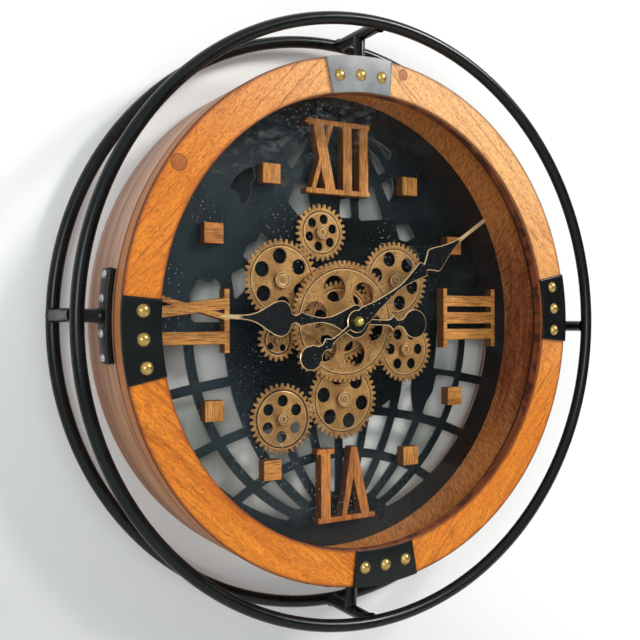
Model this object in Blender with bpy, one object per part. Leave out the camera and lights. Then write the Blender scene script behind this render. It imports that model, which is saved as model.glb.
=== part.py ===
"""Round wall clock: a turned wooden case between two steel rings, with an open gear train on its dial.

The clock faces -Y with +Z up. The origin is on the clock's axis, in the plane of the wall, so every
piece lies at y = 0 or in front of it. Sizes are in metres and angles in degrees. Clock positions are
given as angles turned anticlockwise from +X, as seen from the front.
"""
import math

import bpy
from mathutils import Matrix, Vector
from mathutils.geometry import tessellate_polygon

# Clearances
SEAT_GAP = 0.0003
RUNNING_GAP = 0.0003

# Wooden case: a turned drum with a ledge for the dial, and a bezel on its front
CASE_RADIUS = 0.258
DRUM_DEPTH = 0.0767
DRUM_WALL = 0.022
LEDGE_WIDTH = 0.010
LEDGE_DEPTH = 0.0237
BEZEL_THICKNESS = 0.022
BEZEL_FACE_WIDTH = 0.035
LIP_DEPTH = 0.0124
RABBET_WIDTH = 0.008
EDGE_ROUND = 0.0018

# Glass and the bead that holds it in the rabbet
GLASS_THICKNESS = 0.003
BEAD_WIDTH = 0.003
BEAD_DEPTH = 0.0045

# Dial plate
DIAL_THICKNESS = 0.002
GLOBE_MARGIN = 0.011
GLOBE_DROP = 0.005
GLOBE_BAR = 0.010
GLOBE_DIVISIONS = 5
PARALLEL_SHARE = 0.21085
PARALLEL_LIMB_STEP = 18.3

# Numerals and hour blocks, cut from one thickness of board
NUMERAL_THICKNESS = 0.0123
NUMERAL_FOOT = 0.1315
NUMERAL_TOP = 0.208
SERIF = 0.0055
BLOCK_SIDE = 0.020
BLOCK_ORBIT = 0.1703

# Steel rings and the four stand-offs that carry the case between them
TUBE_RADIUS = 0.006
RING_CLEARANCE = 0.0298
FRONT_RING_Y = -0.0987
REAR_RING_Y = -0.017
FRAME_TURN = -1.3
SADDLE_SPAN = 18.0
SADDLE_THICKNESS = 0.0057
SADDLE_FRONT = -0.076
SADDLE_WIDTH = 0.023
ROD_Y = -0.058

# Steel straps over the bezel, each with three round-headed nails
STRAP_ANGLES = {"top": 94.8, "left": 183.4, "bottom": 271.6, "right": 3.2}
STRAP_SPAN = 17.0
STRAP_THICKNESS = 0.002
NAIL_RADIUS = 0.006
NAIL_HEIGHT = 0.0032
NAIL_INSET = 0.0185
NAIL_STEP = 5.8

# Gear train. Every gear but the centre one lies in one layer close to the dial
MODULE = 0.00202
ADDENDUM = 0.0016
DEDENDUM = 0.0026
TOOTH_BASE = 0.0045
GEAR_THICKNESS = 0.003
GEAR_STANDOFF = 0.0015
CENTRE_TEETH = 68
CENTRE_OUTER_RADIUS = 0.0637
CENTRE_THICKNESS = 0.0035
CENTRE_LIFT = 0.0055
HUB_RADIUS = 0.010
BOSS_LENGTH = 0.0033
POST_RADIUS = 0.003
POST_FLANGE_RADIUS = 0.006
POST_HEAD_HEIGHT = 0.004
RIVET_RADIUS = 0.0038
RIVET_HEIGHT = 0.0012

# Each gear of the layer: the gear it meshes with, the direction to it, its teeth, and its round holes
# as (count, orbit radius, hole radius, angle of the first)
TRAIN = {
    "hidden": (None, 0.0, 41, (6, 0.0250, 0.0080, 49.7), 0.0),
    "left_top": ("hidden", 149.0, 40, (6, 0.0244, 0.0079, 34.2), 0.0084),
    "right_top": ("hidden", 31.9, 41, (6, 0.0247, 0.0080, 46.0), 0.0076),
    "bottom": ("hidden", 272.1, 40, (6, 0.0242, 0.0079, 47.6), 0.0079),
    "top": ("left_top", 46.9, 28, (6, 0.0144, 0.0050, 17.5), 0.0067),
    "small": ("left_top", 265.6, 20, (4, 0.0099, 0.0038, 37.8), 0.0044),
    "right_bottom": ("right_top", 280.1, 34, (6, 0.0185, 0.0059, 59.1), 0.0065),
    "bottom_left": ("bottom", 192.7, 34, (6, 0.0183, 0.0060, 27.1), 0.0060),
}
CENTRE_HOLES = (6, 0.0360, 0.0138, 49.3)
PINION_TEETH = 12
PINION_ANGLE = 225.0

# Movement, its bushing and the hands' arbors
MOVEMENT_SIDE = 0.056
MOVEMENT_DEPTH = 0.016
THREAD_RADIUS = 0.004
THREAD_PAST_NUT = 0.0059
BUSHING_WALL = 0.0017
BUSHING_FLANGE_RADIUS = 0.010
BUSHING_FLANGE = 0.0008
NUT_ACROSS_CORNERS = 0.0139
NUT_THICKNESS = 0.003
HOUR_TUBE_RADIUS = 0.00255
HOUR_TUBE_WALL = 0.0009
ARBOR_END = 0.010

# Hands
HAND_THICKNESS = 0.0016
HOUR_HAND_RISE = 0.0113
HAND_SPACING = 0.0019
HOUR_HAND_ANGLE = 177.9
MINUTE_HAND_ANGLE = 33.3
COLLET_RADIUS = 0.0045
COLLET_CLEARANCE = 0.001
HAND_NUT_RADIUS = 0.005
HAND_NUT_HEIGHT = 0.0082

# Time-setting knob and the batteries
KNOB_RADIUS = 0.008
KNOB_THICKNESS = 0.005
KNOB_FLUTES = 12
KNOB_STEM_RADIUS = 0.002
KNOB_PLACE = (0.011, 0.011)
BATTERY_RADIUS = 0.00715
BATTERY_LENGTH = 0.0495
BATTERY_NUB = 0.001
BAY_WALL = 0.0025
BAY_DROP = -0.0185

# Gear motor, its battery box, switch and lead
MOTOR_RADIUS = 0.012
MOTOR_DEPTH = 0.016
PINION_SHAFT_RADIUS = 0.0015
BOX_LENGTH = 0.070
BOX_HEIGHT = 0.022
BOX_DEPTH = 0.017
BOX_PLACE = (-0.076, -0.066)
SWITCH_TRAVEL = 0.003
SWITCH_LENGTH = 0.005
SWITCH_WIDTH = 0.004
SWITCH_POCKET = 0.002
SWITCH_PROUD = 0.0012
LEAD_RADIUS = 0.0011
LEAD_INSET = 0.020

# Hanger: a bent plate with a keyhole, screwed to the inside of the drum at the top
HANGER_WIDTH = 0.060
HANGER_HEIGHT = 0.034
HANGER_FLANGE = 0.016
HANGER_THICKNESS = 0.0015
HANGER_INSET = 0.0015
KEYHOLE_RADIUS = 0.0050
KEYHOLE_SLOT = 0.0023
KEYHOLE_RISE = 0.010

CASE_SEGMENTS = 64
GLASS_SEGMENTS = 48
RING_SEGMENTS = 56
TUBE_SEGMENTS = 8
ROUND_SEGMENTS = 14

for old in list(bpy.data.objects):
    bpy.data.objects.remove(old, do_unlink=True)


def millimetres(points):
    """Outline points written in millimetres, as metres."""
    return [(0.001 * a, 0.001 * b) for a, b in points]


def material(name, colour, roughness, metallic):
    """A Principled material with one base colour."""
    made = bpy.data.materials.new(name)
    made.use_nodes = True
    shader = made.node_tree.nodes["Principled BSDF"]
    shader.inputs["Base Color"].default_value = (*colour, 1.0)
    shader.inputs["Roughness"].default_value = roughness
    shader.inputs["Metallic"].default_value = metallic
    return made


def add_object(name, mesh, look, place=(0.0, 0.0, 0.0), turn=None):
    """Links one named piece, shades its rounds smooth and gives it its own material."""
    mesh.materials.append(material(name, *look))
    mesh.shade_smooth()
    mesh.set_sharp_from_angle(angle=math.radians(35))
    made = bpy.data.objects.new(name, mesh)
    made.location = place
    if turn:
        made.rotation_euler = turn
    bpy.context.scene.collection.objects.link(made)
    return made


def polar(radius, angle):
    """The point (x, z) at a radius and a clock angle."""
    return radius * math.cos(math.radians(angle)), radius * math.sin(math.radians(angle))


def circle(radius, segments, centre=(0.0, 0.0), first=0.0):
    """A round outline, anticlockwise."""
    step = 360.0 / segments
    corners = [polar(radius, first + step * i) for i in range(segments)]
    return [(x + centre[0], z + centre[1]) for x, z in corners]


def slab_mesh(name, outlines, front, back):
    """A flat plate between two depths. The first outline is its edge and the others are holes."""
    flat = [point for outline in outlines for point in outline]
    scaled = [[Vector((1000 * x, 1000 * z, 0.0)) for x, z in outline] for outline in outlines]
    verts = [(x, front, z) for x, z in flat] + [(x, back, z) for x, z in flat]
    count = len(flat)
    faces = []
    for a, b, c in tessellate_polygon(scaled):
        (ax, az), (bx, bz), (cx, cz) = flat[a], flat[b], flat[c]
        if (bx - ax) * (cz - az) - (bz - az) * (cx - ax) < 0:
            b, c = c, b
        faces.append((a, b, c))
        faces.append((count + a, count + c, count + b))
    start = 0
    for number, outline in enumerate(outlines):
        area = sum(p[0] * q[1] - q[0] * p[1] for p, q in zip(outline, outline[1:] + outline[:1]))
        outward = (area > 0) == (number == 0)
        for i in range(len(outline)):
            a = start + i
            b = start + (i + 1) % len(outline)
            if not outward:
                a, b = b, a
            faces.append((b, a, count + a, count + b))
        start += len(outline)
    mesh = bpy.data.meshes.new(name)
    mesh.from_pydata(verts, [], faces)
    return mesh


def turned_mesh(name, profile, segments):
    """A solid turned about Y from a closed profile of (radius, y), a zero radius lying on the axis.

    Seen with the radius to the right and +Y up, the profile runs anticlockwise.
    """
    rows = []
    verts = []
    for radius, y in profile:
        if radius == 0.0:
            rows.append([len(verts)] * segments)
            verts.append((0.0, y, 0.0))
        else:
            rows.append([len(verts) + i for i in range(segments)])
            verts += [(x, y, z) for x, z in circle(radius, segments)]
    faces = []
    for here, there in zip(rows, rows[1:] + rows[:1]):
        for i in range(segments):
            j = (i + 1) % segments
            corners = []
            for corner in (here[i], there[i], there[j], here[j]):
                if corner not in corners:
                    corners.append(corner)
            if len(corners) > 2:
                faces.append(corners)
    mesh = bpy.data.meshes.new(name)
    mesh.from_pydata(verts, [], faces)
    return mesh


def tube_profile(inner, outer, front, back):
    """The profile of a plain tube."""
    return [(inner, front), (outer, front), (outer, back), (inner, back)]


def rod_profile(radius, front, back):
    """The profile of a plain rod."""
    return [(0.0, front), (radius, front), (radius, back), (0.0, back)]


def box_mesh(name, low, high):
    """A block between two corners."""
    outline = [(low[0], low[2]), (high[0], low[2]), (high[0], high[2]), (low[0], high[2])]
    return slab_mesh(name, [outline], low[1], high[1])


def combine(target, other, operation):
    """A Boolean modifier whose operand is kept as a hidden guide."""
    modifier = target.modifiers.new(operation.lower(), "BOOLEAN")
    modifier.object = other
    modifier.operation = operation
    modifier.solver = "EXACT"
    return target


def guide(name, mesh, place=(0.0, 0.0, 0.0), turn=None):
    """A hidden operand for a Boolean."""
    made = bpy.data.objects.new(name, mesh)
    made.location = place
    if turn:
        made.rotation_euler = turn
    made.hide_render = True
    made.display_type = "WIRE"
    bpy.context.scene.collection.objects.link(made)
    return made


# Looks as (colour, roughness, metallic)
ORANGE_WOOD = ((0.55, 0.21, 0.07), 0.45, 0.0)
PALE_WOOD = ((0.45, 0.26, 0.18), 0.55, 0.0)
NUMERAL_WOOD = ((0.56, 0.29, 0.11), 0.5, 0.0)
BLACK_STEEL = ((0.015, 0.016, 0.018), 0.35, 0.4)
DIAL_PAINT = ((0.02, 0.03, 0.035), 0.5, 0.2)
GLASS = ((0.85, 0.9, 0.9), 0.03, 0.0)
ANTIQUE_BRONZE = ((0.48, 0.31, 0.16), 0.4, 0.8)
BRASS = ((0.65, 0.48, 0.16), 0.3, 0.9)
STEEL = ((0.6, 0.6, 0.6), 0.3, 1.0)
BLACK_PLASTIC = ((0.02, 0.02, 0.02), 0.5, 0.0)
WHITE_PLASTIC = ((0.75, 0.75, 0.72), 0.5, 0.0)
CELL_GREEN = ((0.05, 0.2, 0.1), 0.35, 0.2)

# Depths that follow from the stack of pieces
drum_front_y = -DRUM_DEPTH
bezel_back_y = drum_front_y - SEAT_GAP
bezel_front_y = bezel_back_y - BEZEL_THICKNESS
rabbet_y = bezel_front_y + LIP_DEPTH
glass_front_y = rabbet_y + SEAT_GAP
glass_back_y = glass_front_y + GLASS_THICKNESS
ledge_y = -LEDGE_DEPTH
dial_back_y = ledge_y - SEAT_GAP
dial_front_y = dial_back_y - DIAL_THICKNESS
layer_back_y = dial_front_y - GEAR_STANDOFF
layer_front_y = layer_back_y - GEAR_THICKNESS
centre_back_y = layer_front_y - CENTRE_LIFT
centre_front_y = centre_back_y - CENTRE_THICKNESS
boss_front_y = centre_front_y - BOSS_LENGTH
nut_back_y = boss_front_y - SEAT_GAP
nut_front_y = nut_back_y - NUT_THICKNESS
thread_front_y = nut_front_y - THREAD_PAST_NUT
hour_back_y = nut_front_y - HOUR_HAND_RISE
hour_front_y = hour_back_y - HAND_THICKNESS
minute_back_y = hour_front_y - HAND_SPACING
minute_front_y = minute_back_y - HAND_THICKNESS
hand_nut_back_y = minute_front_y - SEAT_GAP
hand_nut_front_y = hand_nut_back_y - HAND_NUT_HEIGHT
movement_front_y = dial_back_y + SEAT_GAP
movement_back_y = movement_front_y + MOVEMENT_DEPTH

drum_inner_radius = CASE_RADIUS - DRUM_WALL
ledge_radius = drum_inner_radius - LEDGE_WIDTH
bezel_inner_radius = CASE_RADIUS - BEZEL_FACE_WIDTH
rabbet_radius = bezel_inner_radius + RABBET_WIDTH
dial_radius = drum_inner_radius - SEAT_GAP
globe_radius = bezel_inner_radius - GLOBE_MARGIN
parallel_step = globe_radius * PARALLEL_SHARE
nail_orbit = CASE_RADIUS - NAIL_INSET
ring_radius = CASE_RADIUS + RING_CLEARANCE + TUBE_RADIUS
post_bore = POST_RADIUS + RUNNING_GAP
rivet_shank = RIVET_RADIUS - 0.0016
thread_bore = HOUR_TUBE_RADIUS + RUNNING_GAP
dial_thread_hole = THREAD_RADIUS + SEAT_GAP
bushing_radius = dial_thread_hole + BUSHING_WALL
gear_bore = bushing_radius + RUNNING_GAP


def make_case():
    """The drum, the bezel, the glass and its bead."""
    soft = EDGE_ROUND
    drum = [
        (ledge_radius, 0.0), (ledge_radius, ledge_y), (drum_inner_radius, ledge_y),
        (drum_inner_radius, drum_front_y), (CASE_RADIUS, drum_front_y),
        (CASE_RADIUS, -soft), (CASE_RADIUS - soft, 0.0),
    ]
    add_object("wood_drum", turned_mesh("wood_drum", drum, CASE_SEGMENTS), PALE_WOOD)
    bezel = [
        (bezel_inner_radius, rabbet_y), (bezel_inner_radius, bezel_front_y + soft),
        (bezel_inner_radius + soft, bezel_front_y), (CASE_RADIUS - soft, bezel_front_y),
        (CASE_RADIUS, bezel_front_y + soft), (CASE_RADIUS, bezel_back_y),
        (rabbet_radius, bezel_back_y), (rabbet_radius, rabbet_y),
    ]
    add_object("wood_bezel", turned_mesh("wood_bezel", bezel, CASE_SEGMENTS), ORANGE_WOOD)
    glass_radius = rabbet_radius - SEAT_GAP
    glass = rod_profile(glass_radius, glass_front_y, glass_back_y)
    add_object("glass_pane", turned_mesh("glass_pane", glass, GLASS_SEGMENTS), GLASS)
    bead_y = glass_back_y + SEAT_GAP
    bead = tube_profile(glass_radius - BEAD_WIDTH, glass_radius, bead_y, bead_y + BEAD_DEPTH)
    add_object("glazing_bead", turned_mesh("glazing_bead", bead, GLASS_SEGMENTS), BLACK_PLASTIC)


def meridian(number):
    """The circle of one meridian of the globe as (centre x, radius), which passes both poles."""
    crossing = globe_radius * number / GLOBE_DIVISIONS
    if number == GLOBE_DIVISIONS:
        return 0.0, globe_radius
    centre = (crossing ** 2 - globe_radius ** 2) / (2 * crossing)
    return centre, crossing - centre


def parallel(number):
    """The circle of one southern parallel as (centre z, radius), through the axis and the limb."""
    height = parallel_step * number
    limb = globe_radius * math.sin(math.radians(PARALLEL_LIMB_STEP * number))
    centre = (globe_radius ** 2 - height ** 2) / (2 * (limb - height))
    return -centre, centre - height


def meridian_x(number, side, z):
    """Where the edge of a meridian's bar crosses a height. side is +1 for its outer edge."""
    if number == 0:
        return side * GLOBE_BAR / 2
    centre, radius = meridian(number)
    reach = radius + side * GLOBE_BAR / 2
    return centre + math.sqrt(max(reach ** 2 - z ** 2, 0.0))


def parallel_z(number, side, x):
    """The height of the edge of a parallel's bar at x. side is +1 for its upper edge."""
    if number == 0:
        return side * GLOBE_BAR / 2
    centre, radius = parallel(number)
    reach = radius + side * GLOBE_BAR / 2
    return centre + math.sqrt(max(reach ** 2 - x ** 2, 0.0))


def globe_corner(column, column_side, row, row_side):
    """Where the edge of a meridian's bar meets the edge of a parallel's bar, found by repetition."""
    x = globe_radius * column / GLOBE_DIVISIONS
    z = 0.0
    for _ in range(60):
        z = parallel_z(row, row_side, x)
        x = 0.5 * (x + meridian_x(column, column_side, z))
    return x, z


def globe_window(column, row, mirror):
    """The opening between two meridians and two parallels of the southern half of the globe.

    Its two long sides follow the meridians with one point halfway.
    """
    inner_top = globe_corner(column, 1, row, -1)
    outer_top = globe_corner(column + 1, -1, row, -1)
    outer_low = globe_corner(column + 1, -1, row + 1, 1)
    inner_low = globe_corner(column, 1, row + 1, 1)
    if inner_low[0] > outer_low[0]:
        outer_low = inner_low = ((inner_low[0] + outer_low[0]) / 2, (inner_low[1] + outer_low[1]) / 2)
    outer_half_z = (outer_top[1] + outer_low[1]) / 2
    inner_half_z = (inner_top[1] + inner_low[1]) / 2
    points = [
        inner_top,
        outer_top,
        (meridian_x(column + 1, -1, outer_half_z), outer_half_z),
        outer_low,
        inner_low,
        (meridian_x(column, 1, inner_half_z), inner_half_z),
    ]
    return [(mirror * x, z - GLOBE_DROP) for x, z in points]


# Southern openings as row: columns on the left side, columns on the right side
GLOBE_OPENINGS = {
    0: ((3, 4), (3, 4)),
    1: ((3, 4), (4,)),
    2: ((0, 1, 2, 3, 4), (0, 1, 2, 3, 4)),
    3: ((0, 1, 2, 3, 4), (0, 1, 2, 3, 4)),
}

# Openings whose edges are coasts, in units of which the globe's radius holds COAST_UNITS
COAST_UNITS = 212
COAST_OPENINGS = {
    "south_corner": [(55, -93), (67, -86), (65, -95)],
    "south_cape_west": [(84, -62), (97, -62), (95, -75), (96, -87), (98, -101), (76, -97), (81, -80)],
    "south_cape_east": [(131, -61), (158, -65), (152, -79), (144, -97), (137, -111), (111, -104),
                        (117, -91), (126, -80)],
    "west_bay": [(-166, 0), (-167, 27), (-161, 39), (-156, 42), (-151, 39), (-146, 38), (-141, 42),
                 (-137, 39), (-134, 30), (-132, 0)],
    "west_strip": [(-120, 22), (-124, 47), (-111, 54), (-103, 46), (-110, 30)],
    "isthmus": [(-111, 65), (-106, 76), (-96, 81), (-91, 89), (-83, 83), (-80, 70), (-90, 60), (-104, 60)],
    "north_west_sea": [(-125, 132), (-119, 143), (-108, 152), (-99, 155), (-97, 144), (-101, 139),
                       (-102, 127), (-107, 116), (-114, 118), (-113, 125)],
    "arctic_west": [(-74, 182), (-60, 190), (-47, 196), (-57, 187), (-67, 178)],
    "strait_west": [(-62, 164), (-50, 179), (-37, 190), (-43, 174), (-55, 156)],
    "bay_west": [(-68, 150), (-59, 147), (-62, 138), (-69, 140)],
    "inlet_west": [(-50, 146), (-40, 143), (-36, 129), (-34, 116), (-47, 108), (-60, 122)],
    "inlet_middle": [(3, 129), (15, 131), (17, 110), (2, 110)],
    "inlet_east": [(26, 130), (44, 147), (52, 126), (58, 111), (27, 108)],
    "strait_east": [(40, 186), (52, 177), (61, 163), (52, 159), (43, 174)],
    "arctic_east": [(43, 198), (57, 193), (70, 185), (66, 176), (54, 188)],
    "sea_east": [(56, 150), (70, 158), (73, 143), (66, 130)],
    "gulf_east": [(75, 106), (92, 107), (101, 94), (90, 88), (80, 90)],
    "lake_east": [(86, 72), (92, 84), (99, 83), (106, 74), (104, 64), (95, 60)],
}


def row_cells(row):
    """The opening cells of one row as (column, mirror)."""
    left, right = GLOBE_OPENINGS[row]
    return [(column, -1) for column in left] + [(column, 1) for column in right]


def train_places():
    """The axis (x, z) and the phase of every gear in the layer, worked out from mesh to mesh.

    A gear's phase is the angle of the middle of one tooth. It is set so that a tooth of one gear
    meets a gap of the other on the line between their axes.
    """
    places = {}
    for name, (mate, direction, teeth, _, _) in TRAIN.items():
        if mate is None:
            places[name] = (0.0, 0.0, 0.0)
            continue
        places[name] = meshed_place(places[mate], TRAIN[mate][2], direction, teeth)
    places["pinion"] = meshed_place(places["hidden"], TRAIN["hidden"][2], PINION_ANGLE, PINION_TEETH)
    return places


def meshed_place(mate_place, mate_teeth, direction, teeth):
    """The axis and phase of a gear that meshes with another in a direction."""
    mate_x, mate_z, mate_phase = mate_place
    away_x, away_z = polar(MODULE * (mate_teeth + teeth) / 2, direction)
    shift = ((direction - mate_phase) * mate_teeth / 360.0) % 1.0
    phase = direction + 180.0 - (0.5 - shift) * 360.0 / teeth
    return mate_x + away_x, mate_z + away_z, phase


def gear_outline(teeth, root, tip, phase):
    """Slender pointed teeth, each with two root points and one tip point."""
    pitch = 360.0 / teeth
    base_half = math.degrees(TOOTH_BASE / 2 / root)
    outline = []
    for number in range(teeth):
        middle = phase + pitch * number
        outline.append(polar(root, middle - base_half))
        outline.append(polar(tip, middle))
        outline.append(polar(root, middle + base_half))
    return outline


def round_holes(holes):
    """The ring of round holes in a gear's web."""
    count, orbit, radius, first = holes
    places = [polar(orbit, first + 360.0 * i / count) for i in range(count)]
    segments = 12 if radius > 0.007 else 8
    return [circle(radius, segments, place) for place in places]


def make_dial(places):
    """The dial: a sheet disc cut through between the globe's bars, with a hole for each post."""
    outlines = [circle(dial_radius, CASE_SEGMENTS)]
    for row in GLOBE_OPENINGS:
        for column, mirror in row_cells(row):
            outlines.append(globe_window(column, row, mirror))
    unit = globe_radius / COAST_UNITS
    outlines += [[(unit * x, unit * z) for x, z in coast] for coast in COAST_OPENINGS.values()]
    outlines.append(circle(dial_thread_hole, ROUND_SEGMENTS))
    for name, (x, z, _) in places.items():
        if name == "pinion":
            outlines.append(circle(PINION_SHAFT_RADIUS + RUNNING_GAP, 8, (x, z)))
        elif name != "hidden":
            outlines.append(circle(rivet_shank + SEAT_GAP, 8, (x, z)))
    mesh = slab_mesh("dial_plate", outlines, dial_front_y, dial_back_y)
    add_object("dial_plate", mesh, DIAL_PAINT)


def make_gears(places):
    """The layer of gears, each on its own axis, with its post, and the driving pinion."""
    for name, (mate, _, teeth, holes, head) in TRAIN.items():
        x, z, phase = places[name]
        pitch_radius = MODULE * teeth / 2
        outlines = [gear_outline(teeth, pitch_radius - DEDENDUM, pitch_radius + ADDENDUM, phase)]
        outlines += round_holes(holes)
        bore = gear_bore if mate is None else post_bore
        outlines.append(circle(bore, ROUND_SEGMENTS if mate is None else 8))
        label = "gear_" + name
        mesh = slab_mesh(label, outlines, layer_front_y, layer_back_y)
        add_object(label, mesh, ANTIQUE_BRONZE, (x, 0.0, z))
        if mate is not None:
            make_post(name, x, z, head)
    make_centre_gear()
    make_pinion(places["pinion"])


def make_post(name, x, z, head):
    """A fixed post: a head over the gear, a flange on the dial and a shank riveted behind it."""
    head_back = layer_front_y - RUNNING_GAP
    head_front = head_back - POST_HEAD_HEIGHT
    flange_front = layer_back_y + RUNNING_GAP
    flange_back = dial_front_y - SEAT_GAP
    rivet_front = dial_back_y + SEAT_GAP
    rivet_back = rivet_front + RIVET_HEIGHT
    profile = [
        (0.0, head_front), (head, head_front), (head, head_back),
        (POST_RADIUS, head_back), (POST_RADIUS, flange_front),
        (POST_FLANGE_RADIUS, flange_front), (POST_FLANGE_RADIUS, flange_back),
        (rivet_shank, flange_back), (rivet_shank, rivet_front),
        (RIVET_RADIUS, rivet_front), (RIVET_RADIUS, rivet_back), (0.0, rivet_back),
    ]
    label = "post_" + name
    add_object(label, turned_mesh(label, profile, 8), ANTIQUE_BRONZE, (x, 0.0, z))


def make_centre_gear():
    """The large gear in front, whose hub reaches back to the gear of the layer behind it."""
    root = CENTRE_OUTER_RADIUS - ADDENDUM - DEDENDUM
    outlines = [gear_outline(CENTRE_TEETH, root, CENTRE_OUTER_RADIUS, 0.0)]
    outlines += round_holes(CENTRE_HOLES)
    outlines.append(circle((gear_bore + HUB_RADIUS) / 2, ROUND_SEGMENTS))
    mesh = slab_mesh("centre_gear", outlines, centre_front_y, centre_back_y)
    gear = add_object("centre_gear", mesh, ANTIQUE_BRONZE)
    hub = tube_profile(gear_bore, HUB_RADIUS, boss_front_y, layer_front_y - SEAT_GAP)
    combine(gear, guide("centre_hub", turned_mesh("centre_hub", hub, ROUND_SEGMENTS)), "UNION")


def make_pinion(place):
    """The driving pinion and its shaft, which runs back through the dial into the motor."""
    x, z, phase = place
    pitch_radius = MODULE * PINION_TEETH / 2
    outline = gear_outline(PINION_TEETH, pitch_radius - DEDENDUM, pitch_radius + ADDENDUM, phase)
    hole = circle(PINION_SHAFT_RADIUS * 0.6, 8)
    mesh = slab_mesh("drive_pinion", [outline, hole], layer_front_y, layer_back_y)
    pinion = add_object("drive_pinion", mesh, BRASS, (x, 0.0, z))
    shaft_back = dial_back_y + SEAT_GAP + MOTOR_DEPTH / 2
    shaft = rod_profile(PINION_SHAFT_RADIUS, layer_front_y - 0.001, shaft_back)
    combine(pinion, guide("pinion_shaft", turned_mesh("pinion_shaft", shaft, 8), (x, 0.0, z)), "UNION")


# Each numeral: its clock angle, its strokes and its serifs. Points are (across, outward) in
# millimetres, with the numeral's top away from the clock's axis.
FOOT = 1000 * (NUMERAL_FOOT + SERIF / 2)
TOP = 1000 * (NUMERAL_TOP - SERIF / 2)


def upright(left, right):
    """A straight stroke from the foot serif to the top serif."""
    return [(left, FOOT), (right, FOOT), (right, TOP), (left, TOP)]


def leaning(foot_left, foot_right, top_left, top_right):
    """A slanted stroke from the foot serif to the top serif."""
    return [(foot_left, FOOT), (foot_right, FOOT), (top_right, TOP), (top_left, TOP)]


def foot_serif(left, right):
    """A bar across the end nearest the clock's axis."""
    low = 1000 * NUMERAL_FOOT
    return [(left, low), (right, low), (right, low + 1000 * SERIF), (left, low + 1000 * SERIF)]


def top_serif(left, right):
    """A bar across the outer end."""
    high = 1000 * NUMERAL_TOP
    return [(left, high - 1000 * SERIF), (right, high - 1000 * SERIF), (right, high), (left, high)]


VEE = [(-14.7, 1000 * NUMERAL_FOOT), (-7.3, 1000 * NUMERAL_FOOT), (4.6, TOP), (-1.2, TOP), (-10.4, TOP - 41.75),
       (-20.3, TOP), (-31.2, TOP)]
NUMERALS = {
    "numeral_xii": (90.0, [
        foot_serif(-46, 32.5), top_serif(-45, 32), leaning(-22.5, -10, -38, -25.5),
        leaning(-40.6, -35.2, -18, -12.2), upright(-1.2, 10), upright(19, 30.4)]),
    "numeral_iii": (0.0, [
        foot_serif(-36.5, 30), top_serif(-36.5, 30), upright(-28.5, -16.2), upright(-9.8, 3.2),
        upright(9.0, 21.2)]),
    "numeral_vi": (270.0, [
        top_serif(-37.5, 33), foot_serif(13, 34), upright(18, 29.6), VEE]),
    "numeral_ix": (180.0, [
        foot_serif(-30, 32), top_serif(-30, 32), upright(-21.4, -9), leaning(12.6, 23.6, 3.8, 14.6),
        leaning(1.4, 7.2, 20.4, 26)]),
}


def make_numerals():
    """Four Roman numerals sawn from board, each one the union of its strokes."""
    back = dial_front_y - SEAT_GAP
    front = back - NUMERAL_THICKNESS
    for name, (angle, strokes) in NUMERALS.items():
        turn = math.radians(angle)
        solids = []
        for stroke in strokes:
            points = []
            for across, outward in millimetres(stroke):
                x = outward * math.cos(turn) + across * math.sin(turn)
                z = outward * math.sin(turn) - across * math.cos(turn)
                points.append((x, z))
            solids.append(slab_mesh(name, [points], front, back))
        numeral = add_object(name, solids[0], NUMERAL_WOOD)
        for number, solid in enumerate(solids[1:]):
            combine(numeral, guide(f"{name}_stroke_{number}", solid), "UNION")


def make_blocks():
    """Eight square wooden blocks at the other hours, all standing upright."""
    back = dial_front_y - SEAT_GAP
    front = back - NUMERAL_THICKNESS
    half = BLOCK_SIDE / 2
    for hour in (1, 2, 4, 5, 7, 8, 10, 11):
        x, z = polar(BLOCK_ORBIT, 90.0 - 30.0 * hour)
        mesh = box_mesh("hour_block", (-half, front, -half), (half, back, half))
        add_object(f"hour_block_{hour}", mesh, NUMERAL_WOOD, (x, 0.0, z))


def ring_mesh(name, y):
    """A round tube bent into a full circle."""
    verts = []
    faces = []
    for i in range(RING_SEGMENTS):
        for j in range(TUBE_SEGMENTS):
            along = math.radians(360.0 * (j + 0.5) / TUBE_SEGMENTS)
            radius = ring_radius + TUBE_RADIUS * math.cos(along)
            x, z = polar(radius, 360.0 * i / RING_SEGMENTS)
            verts.append((x, y + TUBE_RADIUS * math.sin(along), z))
            a = i * TUBE_SEGMENTS + j
            b = i * TUBE_SEGMENTS + (j + 1) % TUBE_SEGMENTS
            c = ((i + 1) % RING_SEGMENTS) * TUBE_SEGMENTS
            faces.append((a, b, c + (j + 1) % TUBE_SEGMENTS, c + j))
    mesh = bpy.data.meshes.new(name)
    mesh.from_pydata(verts, [], faces)
    return mesh


def sector_outline(inner, outer, middle, span, steps):
    """A curved bar: two arcs about the clock's axis joined at their ends."""
    angles = [middle + span * (i / steps - 0.5) for i in range(steps + 1)]
    return [polar(outer, a) for a in angles] + [polar(inner, a) for a in reversed(angles)]


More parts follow.
